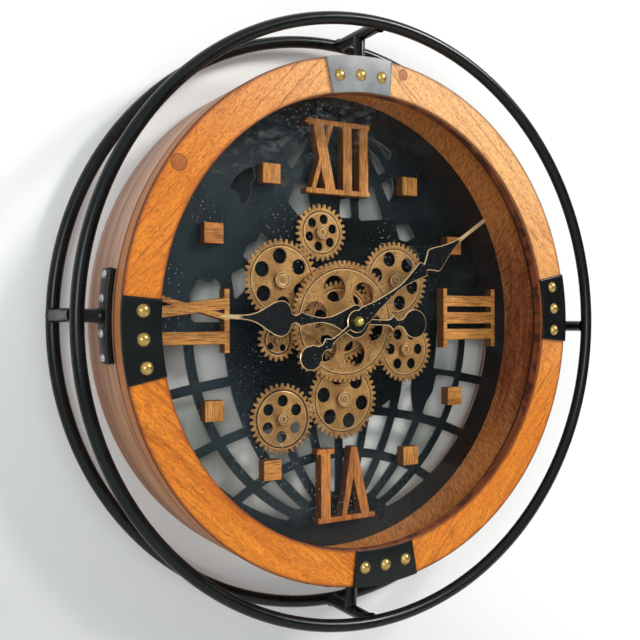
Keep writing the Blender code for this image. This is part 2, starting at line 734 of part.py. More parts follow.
def make_frame():
    """The two rings and the four stand-offs, each a cross bar, a short rod and a saddle plate."""
    add_object("front_ring", ring_mesh("front_ring", FRONT_RING_Y), BLACK_STEEL)
    add_object("rear_ring", ring_mesh("rear_ring", REAR_RING_Y), BLACK_STEEL)
    bar_front = FRONT_RING_Y + TUBE_RADIUS + SEAT_GAP
    bar_back = REAR_RING_Y - TUBE_RADIUS - SEAT_GAP
    saddle_inner = CASE_RADIUS + SEAT_GAP
    saddle_outer = saddle_inner + SADDLE_THICKNESS
    rod_inner = saddle_outer - SADDLE_THICKNESS / 2
    rod_mesh = turned_mesh("rod", rod_profile(TUBE_RADIUS, rod_inner, ring_radius), 10)
    for side, quarter in (("top", 90.0), ("left", 180.0), ("bottom", 270.0), ("right", 0.0)):
        angle = quarter + FRAME_TURN
        x, z = polar(ring_radius, angle)
        name = "standoff_" + side
        bar = turned_mesh(name, rod_profile(TUBE_RADIUS, bar_front, bar_back), 12)
        standoff = add_object(name, bar, BLACK_STEEL, (x, 0.0, z))
        aim = Matrix.Rotation(math.radians(-angle), 4, "Y") @ Matrix.Rotation(math.radians(-90), 4, "Z")
        rod = guide(f"{name}_rod", rod_mesh, (0.0, ROD_Y, 0.0), aim.to_euler())
        combine(standoff, rod, "UNION")
        arc = sector_outline(saddle_inner, saddle_outer, angle, SADDLE_SPAN, 8)
        plate = slab_mesh(f"{name}_saddle", [arc], SADDLE_FRONT, SADDLE_FRONT + SADDLE_WIDTH)
        combine(standoff, guide(f"{name}_saddle", plate), "UNION")


def make_straps():
    """Four sheet straps over the bezel's face, each with three domed nail heads."""
    back = bezel_front_y - SEAT_GAP
    front = back - STRAP_THICKNESS
    half_width = BEZEL_FACE_WIDTH / 2
    middle_radius = CASE_RADIUS - half_width
    inner = middle_radius - half_width
    outer = middle_radius + half_width
    steps = 3
    dome = [(0.0, front - NAIL_HEIGHT)]
    for step in range(1, steps):
        lean = math.radians(90.0 * step / steps)
        dome.append((NAIL_RADIUS * math.sin(lean), front - NAIL_HEIGHT * math.cos(lean)))
    dome += [(NAIL_RADIUS, front), (NAIL_RADIUS, front + STRAP_THICKNESS / 2)]
    dome.append((0.0, front + STRAP_THICKNESS / 2))
    dome_mesh = turned_mesh("nail_head", dome, 8)
    for side, angle in STRAP_ANGLES.items():
        name = "strap_" + side
        arc = sector_outline(inner, outer, angle, STRAP_SPAN, 6)
        strap = add_object(name, slab_mesh(name, [arc], front, back), BLACK_STEEL)
        for number in (-1, 0, 1):
            x, z = polar(nail_orbit, angle + number * NAIL_STEP)
            combine(strap, guide(f"{name}_nail_{number + 2}", dome_mesh, (x, 0.0, z)), "UNION")


# Half-widths of the hands along their length, in millimetres from the clock's axis, tip first
HOUR_STATIONS = [(150, 0.4), (149, 1.3), (140, 2.1), (128, 2.2), (120, 3.0), (113, 5.0), (107, 8.0),
                 (101, 11.6), (94.7, 15.3), (89, 17.3), (86, 17.7), (82, 17.2), (79, 15.5), (76, 11.8),
                 (73.5, 5.5), (70, 3.8), (66.7, 5.2), (63.7, 7.7), (56.5, 5.1), (50, 3.9), (43, 2.9),
                 (37, 2.8), (28, 4.5), (20, 8.0), (11, 12.5), (3, 16.5)]
HOUR_HUB = 17.3
HOUR_TAIL = [(-17.5, 3.1), (-40, 3.0), (-44, 4.2), (-48.2, 8.0), (-50.5, 5.5), (-54.5, 3.3),
             (-60, 4.5), (-63.4, 8.4)]
HOUR_DISC = (-76.0, 15.4)
MINUTE_STATIONS = [(207.5, 0.5), (206, 2.1), (190, 2.2), (175, 2.0), (165, 2.2), (155, 3.2), (147, 5.0),
                   (137, 7.9), (128, 11.5), (121, 13.5), (117.5, 13.1), (114, 10.0), (108, 5.5),
                   (105.5, 4.0), (102, 9.0), (101, 8.6), (94, 7.0), (82, 4.3), (70, 2.3), (60, 2.1),
                   (43, 3.8), (29, 5.6), (13, 9.4)]
MINUTE_HUB = 11.8
MINUTE_TAIL = [(-12, 2.5), (-25, 1.7), (-35, 2.4), (-41, 6.8), (-46, 4.2), (-48, 3.9), (-52, 4.9),
               (-56, 9.6)]
MINUTE_DISC = (-65.5, 12.4)


def arc_between(centre, radius, first, last, steps):
    """Points of an arc given by its first and last angle, ends left out."""
    angles = [first + (last - first) * i / steps for i in range(1, steps)]
    return [(centre + radius * math.cos(a), radius * math.sin(a)) for a in angles]


def hand_outline(stations, hub, tail, disc):
    """Half of a hand from its tip to the end of its tail disc, mirrored into a whole outline."""
    last_u, last_v = stations[-1]
    first_u, first_v = tail[0]
    half = list(stations)
    half += arc_between(0.0, hub, math.atan2(last_v, last_u), math.atan2(first_v, first_u), 4)
    half += tail
    centre, radius = disc
    end_u, end_v = tail[-1]
    half += arc_between(centre, radius, math.atan2(end_v, end_u - centre), math.pi, 5)
    back = (centre - radius, 0.0)
    mirrored = [(u, -v) for u, v in reversed(half)]
    return millimetres(half + [back] + mirrored)


def make_hands():
    """The two hands, their arbors and the domed nut that closes the stack."""
    hands = (
        ("hour_hand", HOUR_STATIONS, HOUR_HUB, HOUR_TAIL, HOUR_DISC, hour_front_y, hour_back_y,
         HOUR_TUBE_RADIUS, HOUR_HAND_ANGLE),
        ("minute_hand", MINUTE_STATIONS, MINUTE_HUB, MINUTE_TAIL, MINUTE_DISC, minute_front_y,
         minute_back_y, minute_arbor_radius(), MINUTE_HAND_ANGLE),
    )
    for name, stations, hub, tail, disc, front, back, arbor, angle in hands:
        bore = circle(arbor + SEAT_GAP, 12)
        mesh = slab_mesh(name, [hand_outline(stations, hub, tail, disc), bore], front, back)
        hand = add_object(name, mesh, BLACK_STEEL, turn=(0.0, -math.radians(angle), 0.0))
        if name == "hour_hand":
            collet = tube_profile(arbor + SEAT_GAP, COLLET_RADIUS, back - HAND_THICKNESS / 2,
                                  thread_front_y - COLLET_CLEARANCE)
            combine(hand, guide("collet", turned_mesh("collet", collet, 12)), "UNION")
    tube = tube_profile(HOUR_TUBE_RADIUS - HOUR_TUBE_WALL, HOUR_TUBE_RADIUS, hour_front_y, arbor_back_y())
    add_object("hour_arbor", turned_mesh("hour_arbor", tube, 12), BRASS)
    tip_y = hand_nut_back_y - HAND_NUT_HEIGHT / 2
    rod = rod_profile(minute_arbor_radius(), tip_y, arbor_back_y())
    add_object("minute_arbor", turned_mesh("minute_arbor", rod, 12), BRASS)
    socket = minute_arbor_radius() + SEAT_GAP
    profile = [
        (0.0, hand_nut_front_y), (HAND_NUT_RADIUS * 0.5, hand_nut_front_y + HAND_NUT_HEIGHT * 0.1),
        (HAND_NUT_RADIUS * 0.86, hand_nut_front_y + HAND_NUT_HEIGHT * 0.36),
        (HAND_NUT_RADIUS, hand_nut_front_y + HAND_NUT_HEIGHT * 0.7), (HAND_NUT_RADIUS, hand_nut_back_y),
        (socket, hand_nut_back_y), (socket, tip_y - SEAT_GAP), (0.0, tip_y - SEAT_GAP),
    ]
    add_object("hand_nut", turned_mesh("hand_nut", profile, 14), BRASS)


def minute_arbor_radius():
    """The solid arbor runs inside the hour tube."""
    return HOUR_TUBE_RADIUS - HOUR_TUBE_WALL - RUNNING_GAP


def arbor_back_y():
    """Both arbors end inside the movement, just short of the bore's floor."""
    return -ARBOR_END - RUNNING_GAP


def battery_mesh(name):
    """A round cell with its raised contact, turned about Y from end to end."""
    nub = BATTERY_RADIUS * 0.38
    half = BATTERY_LENGTH / 2
    profile = [
        (0.0, -half), (BATTERY_RADIUS, -half), (BATTERY_RADIUS, half - BATTERY_NUB),
        (nub, half - BATTERY_NUB), (nub, half), (0.0, half),
    ]
    return turned_mesh(name, profile, 12)


def bay_corners(middle_x, middle_z, back_y):
    """The open-backed bay that holds a cell lying along X, as two corners."""
    half_length = BATTERY_LENGTH / 2 + SEAT_GAP
    half_height = BATTERY_RADIUS + SEAT_GAP
    floor = back_y - 2 * BATTERY_RADIUS
    low = (middle_x - half_length, floor, middle_z - half_height)
    high = (middle_x + half_length, back_y + 0.001, middle_z + half_height)
    return low, high


def make_movement():
    """The clock movement behind the dial, with its bushing, nut, battery and setting knob."""
    half = MOVEMENT_SIDE / 2
    case = box_mesh("movement_case", (-half, movement_front_y, -half), (half, movement_back_y, half))
    movement = add_object("movement_case", case, BLACK_PLASTIC)
    thread = rod_profile(THREAD_RADIUS, thread_front_y, movement_front_y + MOVEMENT_DEPTH / 4)
    combine(movement, guide("thread", turned_mesh("thread", thread, ROUND_SEGMENTS)), "UNION")
    bore = rod_profile(thread_bore, thread_front_y - 0.001, -ARBOR_END)
    combine(movement, guide("arbor_bore", turned_mesh("arbor_bore", bore, ROUND_SEGMENTS)), "DIFFERENCE")
    low, high = bay_corners(0.0, BAY_DROP, movement_back_y)
    combine(movement, guide("battery_bay", box_mesh("battery_bay", low, high)), "DIFFERENCE")
    knob_x, knob_z = KNOB_PLACE
    stem_front = movement_back_y - KNOB_THICKNESS
    socket = rod_profile(KNOB_STEM_RADIUS + RUNNING_GAP, stem_front - RUNNING_GAP, movement_back_y + 0.001)
    socket_mesh = turned_mesh("knob_socket", socket, 10)
    combine(movement, guide("knob_socket", socket_mesh, (knob_x, 0.0, knob_z)), "DIFFERENCE")
    cell_y = movement_back_y - BATTERY_RADIUS + SEAT_GAP
    turn = (0.0, 0.0, math.radians(90))
    add_object("movement_battery", battery_mesh("movement_battery"), CELL_GREEN, (0.0, cell_y, BAY_DROP), turn)

    bushing_bore = dial_thread_hole
    flange_front = dial_front_y - SEAT_GAP - BUSHING_FLANGE
    bushing = [
        (bushing_bore, boss_front_y), (bushing_radius, boss_front_y), (bushing_radius, flange_front),
        (BUSHING_FLANGE_RADIUS, flange_front), (BUSHING_FLANGE_RADIUS, dial_front_y - SEAT_GAP),
        (bushing_bore, dial_front_y - SEAT_GAP),
    ]
    add_object("centre_bushing", turned_mesh("centre_bushing", bushing, ROUND_SEGMENTS), BRASS)
    hexagon = [circle(NUT_ACROSS_CORNERS / 2, 6), circle(dial_thread_hole, ROUND_SEGMENTS)]
    add_object("movement_nut", slab_mesh("movement_nut", hexagon, nut_front_y, nut_back_y), BRASS)

    knob_front = movement_back_y + RUNNING_GAP
    rim = []
    for number in range(2 * KNOB_FLUTES):
        reach = KNOB_RADIUS if number % 2 else KNOB_RADIUS * 0.92
        rim.append(polar(reach, 180.0 * number / KNOB_FLUTES))
    disc = slab_mesh("time_set_knob", [rim], knob_front, knob_front + KNOB_THICKNESS)
    knob = add_object("time_set_knob", disc, WHITE_PLASTIC, (knob_x, 0.0, knob_z))
    stem = rod_profile(KNOB_STEM_RADIUS, stem_front, knob_front + KNOB_THICKNESS / 2)
    stem_mesh = turned_mesh("knob_stem", stem, 10)
    combine(knob, guide("knob_stem", stem_mesh, (knob_x, 0.0, knob_z)), "UNION")


def make_gear_drive(places):
    """The small motor that turns the gears, its battery box with a slide switch, and the lead.

    The lead bends a quarter turn, from the top of the box to the side of the motor.
    """
    x, z, _ = places["pinion"]
    motor_front = dial_back_y + SEAT_GAP
    motor_back = motor_front + MOTOR_DEPTH
    shaft_hole = PINION_SHAFT_RADIUS + RUNNING_GAP
    hole_back = motor_front + MOTOR_DEPTH / 2 + RUNNING_GAP
    profile = [
        (shaft_hole, motor_front), (MOTOR_RADIUS, motor_front), (MOTOR_RADIUS, motor_back),
        (0.0, motor_back), (0.0, hole_back), (shaft_hole, hole_back),
    ]
    add_object("gear_motor", turned_mesh("gear_motor", profile, ROUND_SEGMENTS), STEEL, (x, 0.0, z))

    box_x, box_z = BOX_PLACE
    box_front = dial_back_y + SEAT_GAP
    box_back = box_front + BOX_DEPTH
    low = (box_x - BOX_LENGTH / 2, box_front, box_z - BOX_HEIGHT / 2)
    high = (box_x + BOX_LENGTH / 2, box_back, box_z + BOX_HEIGHT / 2)
    box = add_object("battery_box", box_mesh("battery_box", low, high), BLACK_PLASTIC)
    bay_x = high[0] - BAY_WALL - BATTERY_LENGTH / 2 - SEAT_GAP
    bay_low, bay_high = bay_corners(bay_x, box_z, box_back)
    combine(box, guide("box_bay", box_mesh("box_bay", bay_low, bay_high)), "DIFFERENCE")
    cell_y = box_back - BATTERY_RADIUS + SEAT_GAP
    turn = (0.0, 0.0, math.radians(90))
    add_object("gear_battery", battery_mesh("gear_battery"), CELL_GREEN, (bay_x, cell_y, box_z), turn)

    pocket_low = low[0] + BAY_WALL
    pocket_high = pocket_low + SWITCH_LENGTH + SWITCH_TRAVEL + 2 * RUNNING_GAP
    half = SWITCH_WIDTH / 2
    pocket_floor = box_back - SWITCH_POCKET
    pocket = box_mesh("switch_pocket", (pocket_low, pocket_floor, box_z - half - RUNNING_GAP),
                      (pocket_high, box_back + 0.001, box_z + half + RUNNING_GAP))
    combine(box, guide("switch_pocket", pocket), "DIFFERENCE")
    slider_low = pocket_low + RUNNING_GAP
    slider = box_mesh("slide_switch", (slider_low, pocket_floor + RUNNING_GAP, box_z - half),
                      (slider_low + SWITCH_LENGTH, box_back + SWITCH_PROUD, box_z + half))
    add_object("slide_switch", slider, WHITE_PLASTIC)

    end_x = x - MOTOR_RADIUS - SEAT_GAP
    start_x = high[0] - LEAD_INSET
    start_z = high[2] + SEAT_GAP
    lead_y = motor_front + MOTOR_DEPTH / 2
    route = []
    count = 8
    for i in range(count + 1):
        turned = math.radians(90.0 * i / count)
        across = end_x + (start_x - end_x) * math.cos(turned)
        route.append((across, lead_y, start_z + (z - start_z) * math.sin(turned)))
    curve = bpy.data.curves.new("motor_lead", "CURVE")
    curve.dimensions = "3D"
    curve.bevel_depth = LEAD_RADIUS
    curve.bevel_resolution = 1
    curve.use_fill_caps = True
    spline = curve.splines.new("POLY")
    spline.points.add(count)
    for place, point in zip(spline.points, route):
        place.co = (*point, 1.0)
    curve.materials.append(material("motor_lead", *BLACK_PLASTIC))
    bpy.context.scene.collection.objects.link(bpy.data.objects.new("motor_lead", curve))


def make_hanger():
    """A bent steel plate: its flange lies on the inside of the drum and its face has the keyhole."""
    half = HANGER_WIDTH / 2
    top = math.sqrt(ledge_radius ** 2 - half ** 2) - SEAT_GAP
    back = -HANGER_INSET
    front = back - HANGER_THICKNESS
    low = top - HANGER_HEIGHT
    hole_z = low + HANGER_HEIGHT * 0.4
    slot_angle = math.degrees(math.acos(KEYHOLE_SLOT / KEYHOLE_RADIUS))
    slot_top = hole_z + KEYHOLE_RISE
    keyhole = []
    for i in range(5):
        x, z = polar(KEYHOLE_SLOT, 180.0 * i / 4)
        keyhole.append((x, slot_top + z))
    steps = 10
    for i in range(steps + 1):
        x, z = polar(KEYHOLE_RADIUS, 180.0 - slot_angle + (180.0 + 2 * slot_angle) * i / steps)
        keyhole.append((x, hole_z + z))
    face = [(-half, low), (half, low), (half, top), (-half, top)]
    plate = add_object("hanger_plate", slab_mesh("hanger_plate", [face, keyhole], front, back), STEEL)
    flange = box_mesh("hanger_flange", (-half, back - HANGER_FLANGE, top - HANGER_THICKNESS),
                      (half, back - HANGER_THICKNESS / 2, top))
    combine(plate, guide("hanger_flange", flange), "UNION")


make_case()
gear_places = train_places()
make_dial(gear_places)
make_gears(gear_places)
make_numerals()
make_blocks()
make_frame()
make_straps()
make_hands()
make_movement()
make_gear_drive(gear_places)
make_hanger()
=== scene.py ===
"""Looks of a round wooden wall clock held between two steel rings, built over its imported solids."""
import math

import bmesh
import bpy
import numpy as np
from mathutils import Matrix, Vector
from mathutils.geometry import tessellate_polygon


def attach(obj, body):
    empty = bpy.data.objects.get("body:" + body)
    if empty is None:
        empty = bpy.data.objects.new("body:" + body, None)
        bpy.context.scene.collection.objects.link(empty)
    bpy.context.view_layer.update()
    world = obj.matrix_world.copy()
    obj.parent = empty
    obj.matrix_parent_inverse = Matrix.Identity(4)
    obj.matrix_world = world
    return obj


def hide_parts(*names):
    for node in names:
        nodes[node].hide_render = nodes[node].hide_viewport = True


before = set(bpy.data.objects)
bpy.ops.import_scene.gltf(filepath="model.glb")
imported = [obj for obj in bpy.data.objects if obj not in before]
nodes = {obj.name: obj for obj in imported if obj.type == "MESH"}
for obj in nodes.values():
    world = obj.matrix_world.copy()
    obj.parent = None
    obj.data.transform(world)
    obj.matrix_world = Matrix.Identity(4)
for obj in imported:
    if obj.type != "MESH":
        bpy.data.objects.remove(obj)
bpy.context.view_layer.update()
scene = bpy.context.scene


# Camera: a normal lens 31 degrees to the left of the clock's axis and 0.9 m away, level with the
# clock's middle, standing where the photograph was taken from.
CAMERA_PLACE = (-0.47427, -0.78201, 0.00211)
SENSOR_WIDTH = 36.0
FOCAL_LENGTH_IN_PIXELS = 844.486
PICTURE_WIDTH = 640
yaw = math.radians(30.853)
tilt = math.radians(-0.034)
roll = math.radians(-0.228)
lens = bpy.data.cameras.new("camera")
lens.sensor_width = SENSOR_WIDTH
lens.lens = SENSOR_WIDTH * FOCAL_LENGTH_IN_PIXELS / PICTURE_WIDTH
camera = bpy.data.objects.new("camera", lens)
camera.matrix_world = (
    Matrix.Translation(CAMERA_PLACE)
    @ Matrix.Rotation(-yaw, 4, "Z")
    @ Matrix.Rotation(math.radians(90) + tilt, 4, "X")
    @ Matrix.Rotation(roll, 4, "Z")
)
scene.collection.objects.link(camera)
scene.camera = camera


# Room: a white painted wall right behind the clock and a floor well below it, both staging. The
# wall has painted shade: darker to the lower left and a little to the right, and mottled and darker
# behind the dial, with two shadows painted there. Seen from behind it is clear, and short rays pass
# through it, so that the clock's back is lit.
WALL_Y = 0.0015
FLOOR_Z = -1.2
ROOM_HALF_WIDTH = 4


class Finish:
    """A procedural finish: one Principled shader, and short calls that wire nodes into it."""

    def __init__(self, name, roughness=0.5, metallic=0.0):
        self.material = bpy.data.materials.new(name)
        self.material.use_nodes = True
        self.tree = self.material.node_tree
        self.shader = self.tree.nodes["Principled BSDF"]
        self.output = self.tree.nodes["Material Output"]
        self.shader.inputs["Roughness"].default_value = roughness
        self.shader.inputs["Metallic"].default_value = metallic

    def add(self, kind, settings=None, **sockets):
        """A node; each socket takes a number, a colour or another node's output."""
        made = self.tree.nodes.new(kind)
        for key, value in (settings or {}).items():
            setattr(made, key, value)
        for key, value in sockets.items():
            socket = made.inputs[int(key[1:])] if key[0] == "_" else made.inputs[key]
            self.put(socket, value)
        return made

    def put(self, socket, value):
        if isinstance(value, bpy.types.NodeSocket):
            self.tree.links.new(value, socket)
        elif isinstance(value, tuple) and len(value) == 3 and socket.type == "RGBA":
            socket.default_value = (*value, 1.0)
        else:
            socket.default_value = value

    def noted(self, name, output="Fac"):
        """A number, or with Vector a vector, kept on the mesh by note()."""
        return self.add("ShaderNodeAttribute", {"attribute_name": name}).outputs[output]

    def place(self):
        return self.add("ShaderNodeTexCoord").outputs["Object"]

    def scaled(self, vector, scale):
        """The vector times a scale of its own along each axis."""
        return self.add("ShaderNodeMapping", Vector=vector, Scale=scale).outputs["Vector"]

    def noise(self, vector, scale=1.0, detail=4.0, rough=0.55, bend=0.0):
        """Fractal noise, about 0.5 in the middle."""
        sockets = {"Vector": vector, "Scale": scale, "Detail": detail, "Roughness": rough}
        return self.add("ShaderNodeTexNoise", Distortion=bend, **sockets).outputs["Fac"]

    def grain(self, vector, stretch, detail=4.0, rough=0.55, bend=0.0):
        """Fractal noise with a scale of its own along each axis."""
        return self.noise(self.scaled(vector, stretch), 1.0, detail, rough, bend)

    def cells(self, vector):
        """Distance to the nearest of scattered points, one to a unit cube."""
        return self.add("ShaderNodeTexVoronoi", Vector=vector, Scale=1.0).outputs["Distance"]

    def math(self, operation, a, b=0.0):
        return self.add("ShaderNodeMath", {"operation": operation}, _0=a, _1=b).outputs[0]

    def times(self, a, b):
        return self.math("MULTIPLY", a, b)

    def plus(self, a, b):
        return self.math("ADD", a, b)

    def minus(self, a, b):
        return self.math("SUBTRACT", a, b)

    def apart(self, a, b):
        """How far two numbers are from each other."""
        return self.math("ABSOLUTE", self.minus(a, b))

    def fade(self, value, low, high, first=0.0, last=1.0):
        """Runs smoothly from first to last while value runs from low to high."""
        settings = {"interpolation_type": "SMOOTHSTEP"}
        sockets = {"Value": value, "From Min": low, "From Max": high, "To Min": first, "To Max": last}
        return self.add("ShaderNodeMapRange", settings, **sockets).outputs["Result"]

    def ramp(self, value, *stops):
        """Colours along 0 to 1, each stop a (place, colour)."""
        made = self.add("ShaderNodeValToRGB", Fac=value)
        ends = made.color_ramp.elements
        while len(ends) < len(stops):
            ends.new(0.5)
        for element, (at, colour) in zip(ends, stops):
            element.position = at
            element.color = (*colour, 1.0)
        return made.outputs["Color"]

    def mix(self, share, a, b):
        made = self.add("ShaderNodeMix", {"data_type": "RGBA"}, Factor=share)
        self.put(made.inputs[6], a)
        self.put(made.inputs[7], b)
        return made.outputs[2]

    def over(self, colour, *coats):
        """Lays coats, each a (share, colour), over a colour one after another."""
        for share, coat in coats:
            colour = self.mix(share, colour, coat)
        return colour

    def split(self, vector):
        return self.add("ShaderNodeSeparateXYZ", Vector=vector).outputs

    def side_and_height(self):
        """x and z in the clock's frame."""
        parts = self.split(self.place())
        return parts[0], parts[2]

    def reach(self):
        """Distance from the clock's axis: the root of x squared plus z squared."""
        x, z = self.side_and_height()
        return self.math("SQRT", self.plus(self.times(x, x), self.times(z, z)))

    def away(self, point):
        """Distance from a point of the clock's frame."""
        settings = {"operation": "DISTANCE"}
        return self.add("ShaderNodeVectorMath", settings, _0=self.place(), _1=point).outputs["Value"]

    def finish(self, colour=None, roughness=None, height=None, depth=0.0003, strength=0.5, **sockets):
        """Wires colour, roughness, a bump of the given height and depth in metres, and other sockets."""
        if colour is not None:
            self.put(self.shader.inputs["Base Color"], colour)
        if roughness is not None:
            self.put(self.shader.inputs["Roughness"], roughness)
        if height is not None:
            bump = self.add("ShaderNodeBump", Height=height, Distance=depth, Strength=strength)
            self.put(self.shader.inputs["Normal"], bump.outputs["Normal"])
        for key, value in sockets.items():
            self.put(self.shader.inputs[key.replace("_", " ")], value)
        return self.material


def wall_paint():
    """White emulsion: matt, with a faint roller texture. Painted shade darkens it to the lower left, a little
    to the right, and behind the dial, where it is mottled and carries two painted shadows.

    It is clear from behind, and for diffuse and shadow rays that are shorter than 6 cm.
    """
    paint = Finish("wall_paint", 0.9)
    grain = paint.noise(paint.place(), 260.0, 3.0)
    cloud = paint.noise(paint.place(), 1.6, 2.0)
    x, z = paint.side_and_height()
    # Painted shade: darker towards the lower left, and a little darker towards the right.
    corner = paint.plus(paint.times(x, 0.7), z)
    low_left_shade = paint.fade(corner, -0.5, -0.1, 0.68, 0.94)
    tone = paint.times(low_left_shade, paint.fade(cloud, 0.3, 0.7, 0.97, 1.0))
    tone = paint.times(tone, paint.fade(x, -0.35, 0.2, 1.02, 0.93))
    # Painted shade behind the dial: a mottled, darker greenish grey, with painted shadows behind hour block 11
    # and behind the bottom gear.
    dim = paint.plus(paint.times(z, 0.25), paint.noise(paint.place(), 13.0, 1.0))
    dim = paint.mix(paint.fade(dim, 0.32, 0.7), (1.0, 1.0, 0.96), (0.4, 0.44, 0.4))
    for side, height, radius in ((-0.103, 0.138, 0.026), (0.02, -0.1, 0.02)):
        shade = paint.fade(paint.away((side, WALL_Y, height)), radius, radius + 0.012, 0.93, 0.0)
        dim = paint.mix(shade, dim, (0.01, 0.015, 0.016))
    white = paint.mix(paint.fade(paint.reach(), 0.225, 0.24), dim, (1.0, 1.0, 0.985))
    colour = paint.mix(tone, (0.0, 0.0, 0.0), white)
    paint.finish(colour, height=grain, depth=0.0002, strength=0.3)
    clear = paint.add("ShaderNodeBsdfTransparent")
    behind = paint.add("ShaderNodeNewGeometry").outputs["Backfacing"]
    ray = paint.add("ShaderNodeLightPath").outputs
    bounced = paint.math("MAXIMUM", ray["Is Diffuse Ray"], ray["Is Shadow Ray"])
    near = paint.times(bounced, paint.math("LESS_THAN", ray["Ray Length"], 0.06))
    gone = paint.math("MAXIMUM", behind, near)
    both = paint.add("ShaderNodeMixShader", Fac=gone, _1=paint.shader.outputs[0], _2=clear.outputs[0])
    paint.put(paint.output.inputs["Surface"], both.outputs[0])
    return paint.material


wall_colour = wall_paint()
low_left = (-ROOM_HALF_WIDTH, WALL_Y, FLOOR_Z)
low_right = (ROOM_HALF_WIDTH, WALL_Y, FLOOR_Z)
for name, corners in (
    ("wall", [low_left, low_right, (ROOM_HALF_WIDTH, WALL_Y, 3), (-ROOM_HALF_WIDTH, WALL_Y, 3)]),
    ("floor", [low_left, (-ROOM_HALF_WIDTH, -6, FLOOR_Z), (ROOM_HALF_WIDTH, -6, FLOOR_Z), low_right]),
):
    sheet = bpy.data.meshes.new(name)
    sheet.from_pydata(corners, [], [(0, 1, 2, 3)])
    sheet.materials.append(wall_colour)
    backdrop = bpy.data.objects.new(name, sheet)
    scene.collection.objects.link(backdrop)

world = bpy.data.worlds.new("room")
world.use_nodes = True
room = world.node_tree
room.nodes["Background"].inputs["Color"].default_value = (0.86, 0.94, 1.0, 1.0)
toward = room.nodes.new("ShaderNodeSeparateXYZ")
room.links.new(room.nodes.new("ShaderNodeTexCoord").outputs["Generated"], toward.inputs[0])
glow = room.nodes.new("ShaderNodeMath")
glow.operation = "MULTIPLY"
for factor, axis, limits in ((0, "X", (0.25, 0.7, 0.76, 0.05)), (1, "Z", (-0.7, 0.8, 0.3, 1.0))):
    fall = room.nodes.new("ShaderNodeMapRange")
    fall.interpolation_type = "SMOOTHSTEP"
    for socket, value in zip(("From Min", "From Max", "To Min", "To Max"), limits):
        fall.inputs[socket].default_value = value
    room.links.new(toward.outputs[axis], fall.inputs["Value"])
    room.links.new(fall.outputs["Result"], glow.inputs[factor])
room.links.new(glow.outputs[0], room.nodes["Background"].inputs["Strength"])
scene.world = world
scene.view_settings.view_transform = "Standard"

for name, place, size, watts, colour in (
    ("window", (2.4, -2.55, 2.05), 0.9, 108.0, (1.0, 0.985, 0.95)),
    ("room_light", (-1.9, -3.2, 0.4), 1.4, 42.0, (0.97, 0.985, 1.0)),
):
    lamp = bpy.data.lights.new(name, "AREA")
    lamp.size = size
    lamp.energy = watts
    lamp.color = colour
    lamp_object = bpy.data.objects.new(name, lamp)
    aim = Vector((0.0, -0.05, 0.0)) - Vector(place)
    turn = aim.to_track_quat("-Z", "Y").to_matrix().to_4x4()
    lamp_object.matrix_world = Matrix.Translation(place) @ turn
    scene.collection.objects.link(lamp_object)


# Wooden case: four boards of stained hardwood sawn to a ring for the face, on a deep turned drum.
# The face boards meet under the steel straps, and two screws in them are plugged with wood.
CASE_RADIUS = 0.258
FACE_INNER = 0.223
DRUM_INNER = 0.236
LEDGE_INNER = 0.226
FACE_Y = -0.099
JOINT_Y = -0.077
RABBET_Y = -0.0866
RABBET_RADIUS = 0.231
LEDGE_Y = -0.0237
DRUM_FRONT = -0.0767
TURNING_STEPS = 256


def surface(name, grid, wrap_rows=False, wrap_columns=False, sharp=35.0):
    """Quads between neighbours of a grid of points (rows, columns, 3); a wrapped side meets itself.

    Points that coincide, as at a pole, are merged, and the faces are turned outwards.
    """
    rows, columns = grid.shape[:2]
    here = np.arange(rows * columns).reshape(rows, columns)
    across = np.roll(here, -1, 1)
    quads = np.stack([here, across, np.roll(across, -1, 0), np.roll(here, -1, 0)], -1)
    quads = quads[: rows if wrap_rows else rows - 1, : columns if wrap_columns else columns - 1]
    mesh = bpy.data.meshes.new(name)
    mesh.from_pydata(grid.reshape(-1, 3).tolist(), [], quads.reshape(-1, 4).tolist())
    return settle(mesh, sharp)


def settle(mesh, sharp=35.0):
    """Merges doubled points, turns a closed skin outwards and shades its rounds smooth."""
    work = bmesh.new()
    work.from_mesh(mesh)
    bmesh.ops.remove_doubles(work, verts=work.verts, dist=1e-7)
    if work.calc_volume(signed=True) < 0:
        bmesh.ops.reverse_faces(work, faces=work.faces)
    work.to_mesh(mesh)
    work.free()
    mesh.shade_smooth()
    mesh.set_sharp_from_angle(angle=math.radians(sharp))
    return mesh


def points_of(mesh):
    """All points of a mesh as an array."""
    flat = np.empty(len(mesh.vertices) * 3, np.float32)
    mesh.vertices.foreach_get("co", flat)
    return flat.reshape(-1, 3).astype(float)


def note(mesh, name, values):
    """Keeps a vector, or a number, for every point of a mesh under a name that a finish can read."""
    values = np.asarray(values, np.float32)
    if values.ndim == 2:
        mesh.attributes.new(name, "FLOAT_VECTOR", "POINT").data.foreach_set("vector", values.ravel())
    else:
        mesh.attributes.new(name, "FLOAT", "POINT").data.foreach_set("value", values)


def show(name, mesh, material, body, slot, *stands_for):
    """Links a finished piece: its finish, the body it rides on, its record slot (not used) and what it
    replaces.
    """
    mesh.materials.clear()
    mesh.materials.append(material)
    piece = bpy.data.objects.new(name, mesh)
    scene.collection.objects.link(piece)
    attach(piece, body)
    if stands_for:
        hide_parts(*stands_for)
    return piece


def rounded(profile, radius=0.0012, steps=4):
    """A closed profile of (radius, y) corners with each corner rounded by an arc-like curve.

    Each corner becomes a quadratic curve between points one radius away along its two sides, or
    0.4 of a side that is short.
    """
    corners = np.array(profile, float)
    before = np.roll(corners, 1, 0) - corners
    after = np.roll(corners, -1, 0) - corners
    ends = []
    for side in (before, after):
        length = np.linalg.norm(side, axis=1)[:, None]
        ends.append((corners + side / length * np.minimum(radius, 0.4 * length))[:, None])
    share = np.linspace(0, 1, steps + 1)[None, :, None]
    middle = 2 * share * (1 - share) * corners[:, None]
    return ((1 - share) ** 2 * ends[0] + middle + share**2 * ends[1]).reshape(-1, 2)


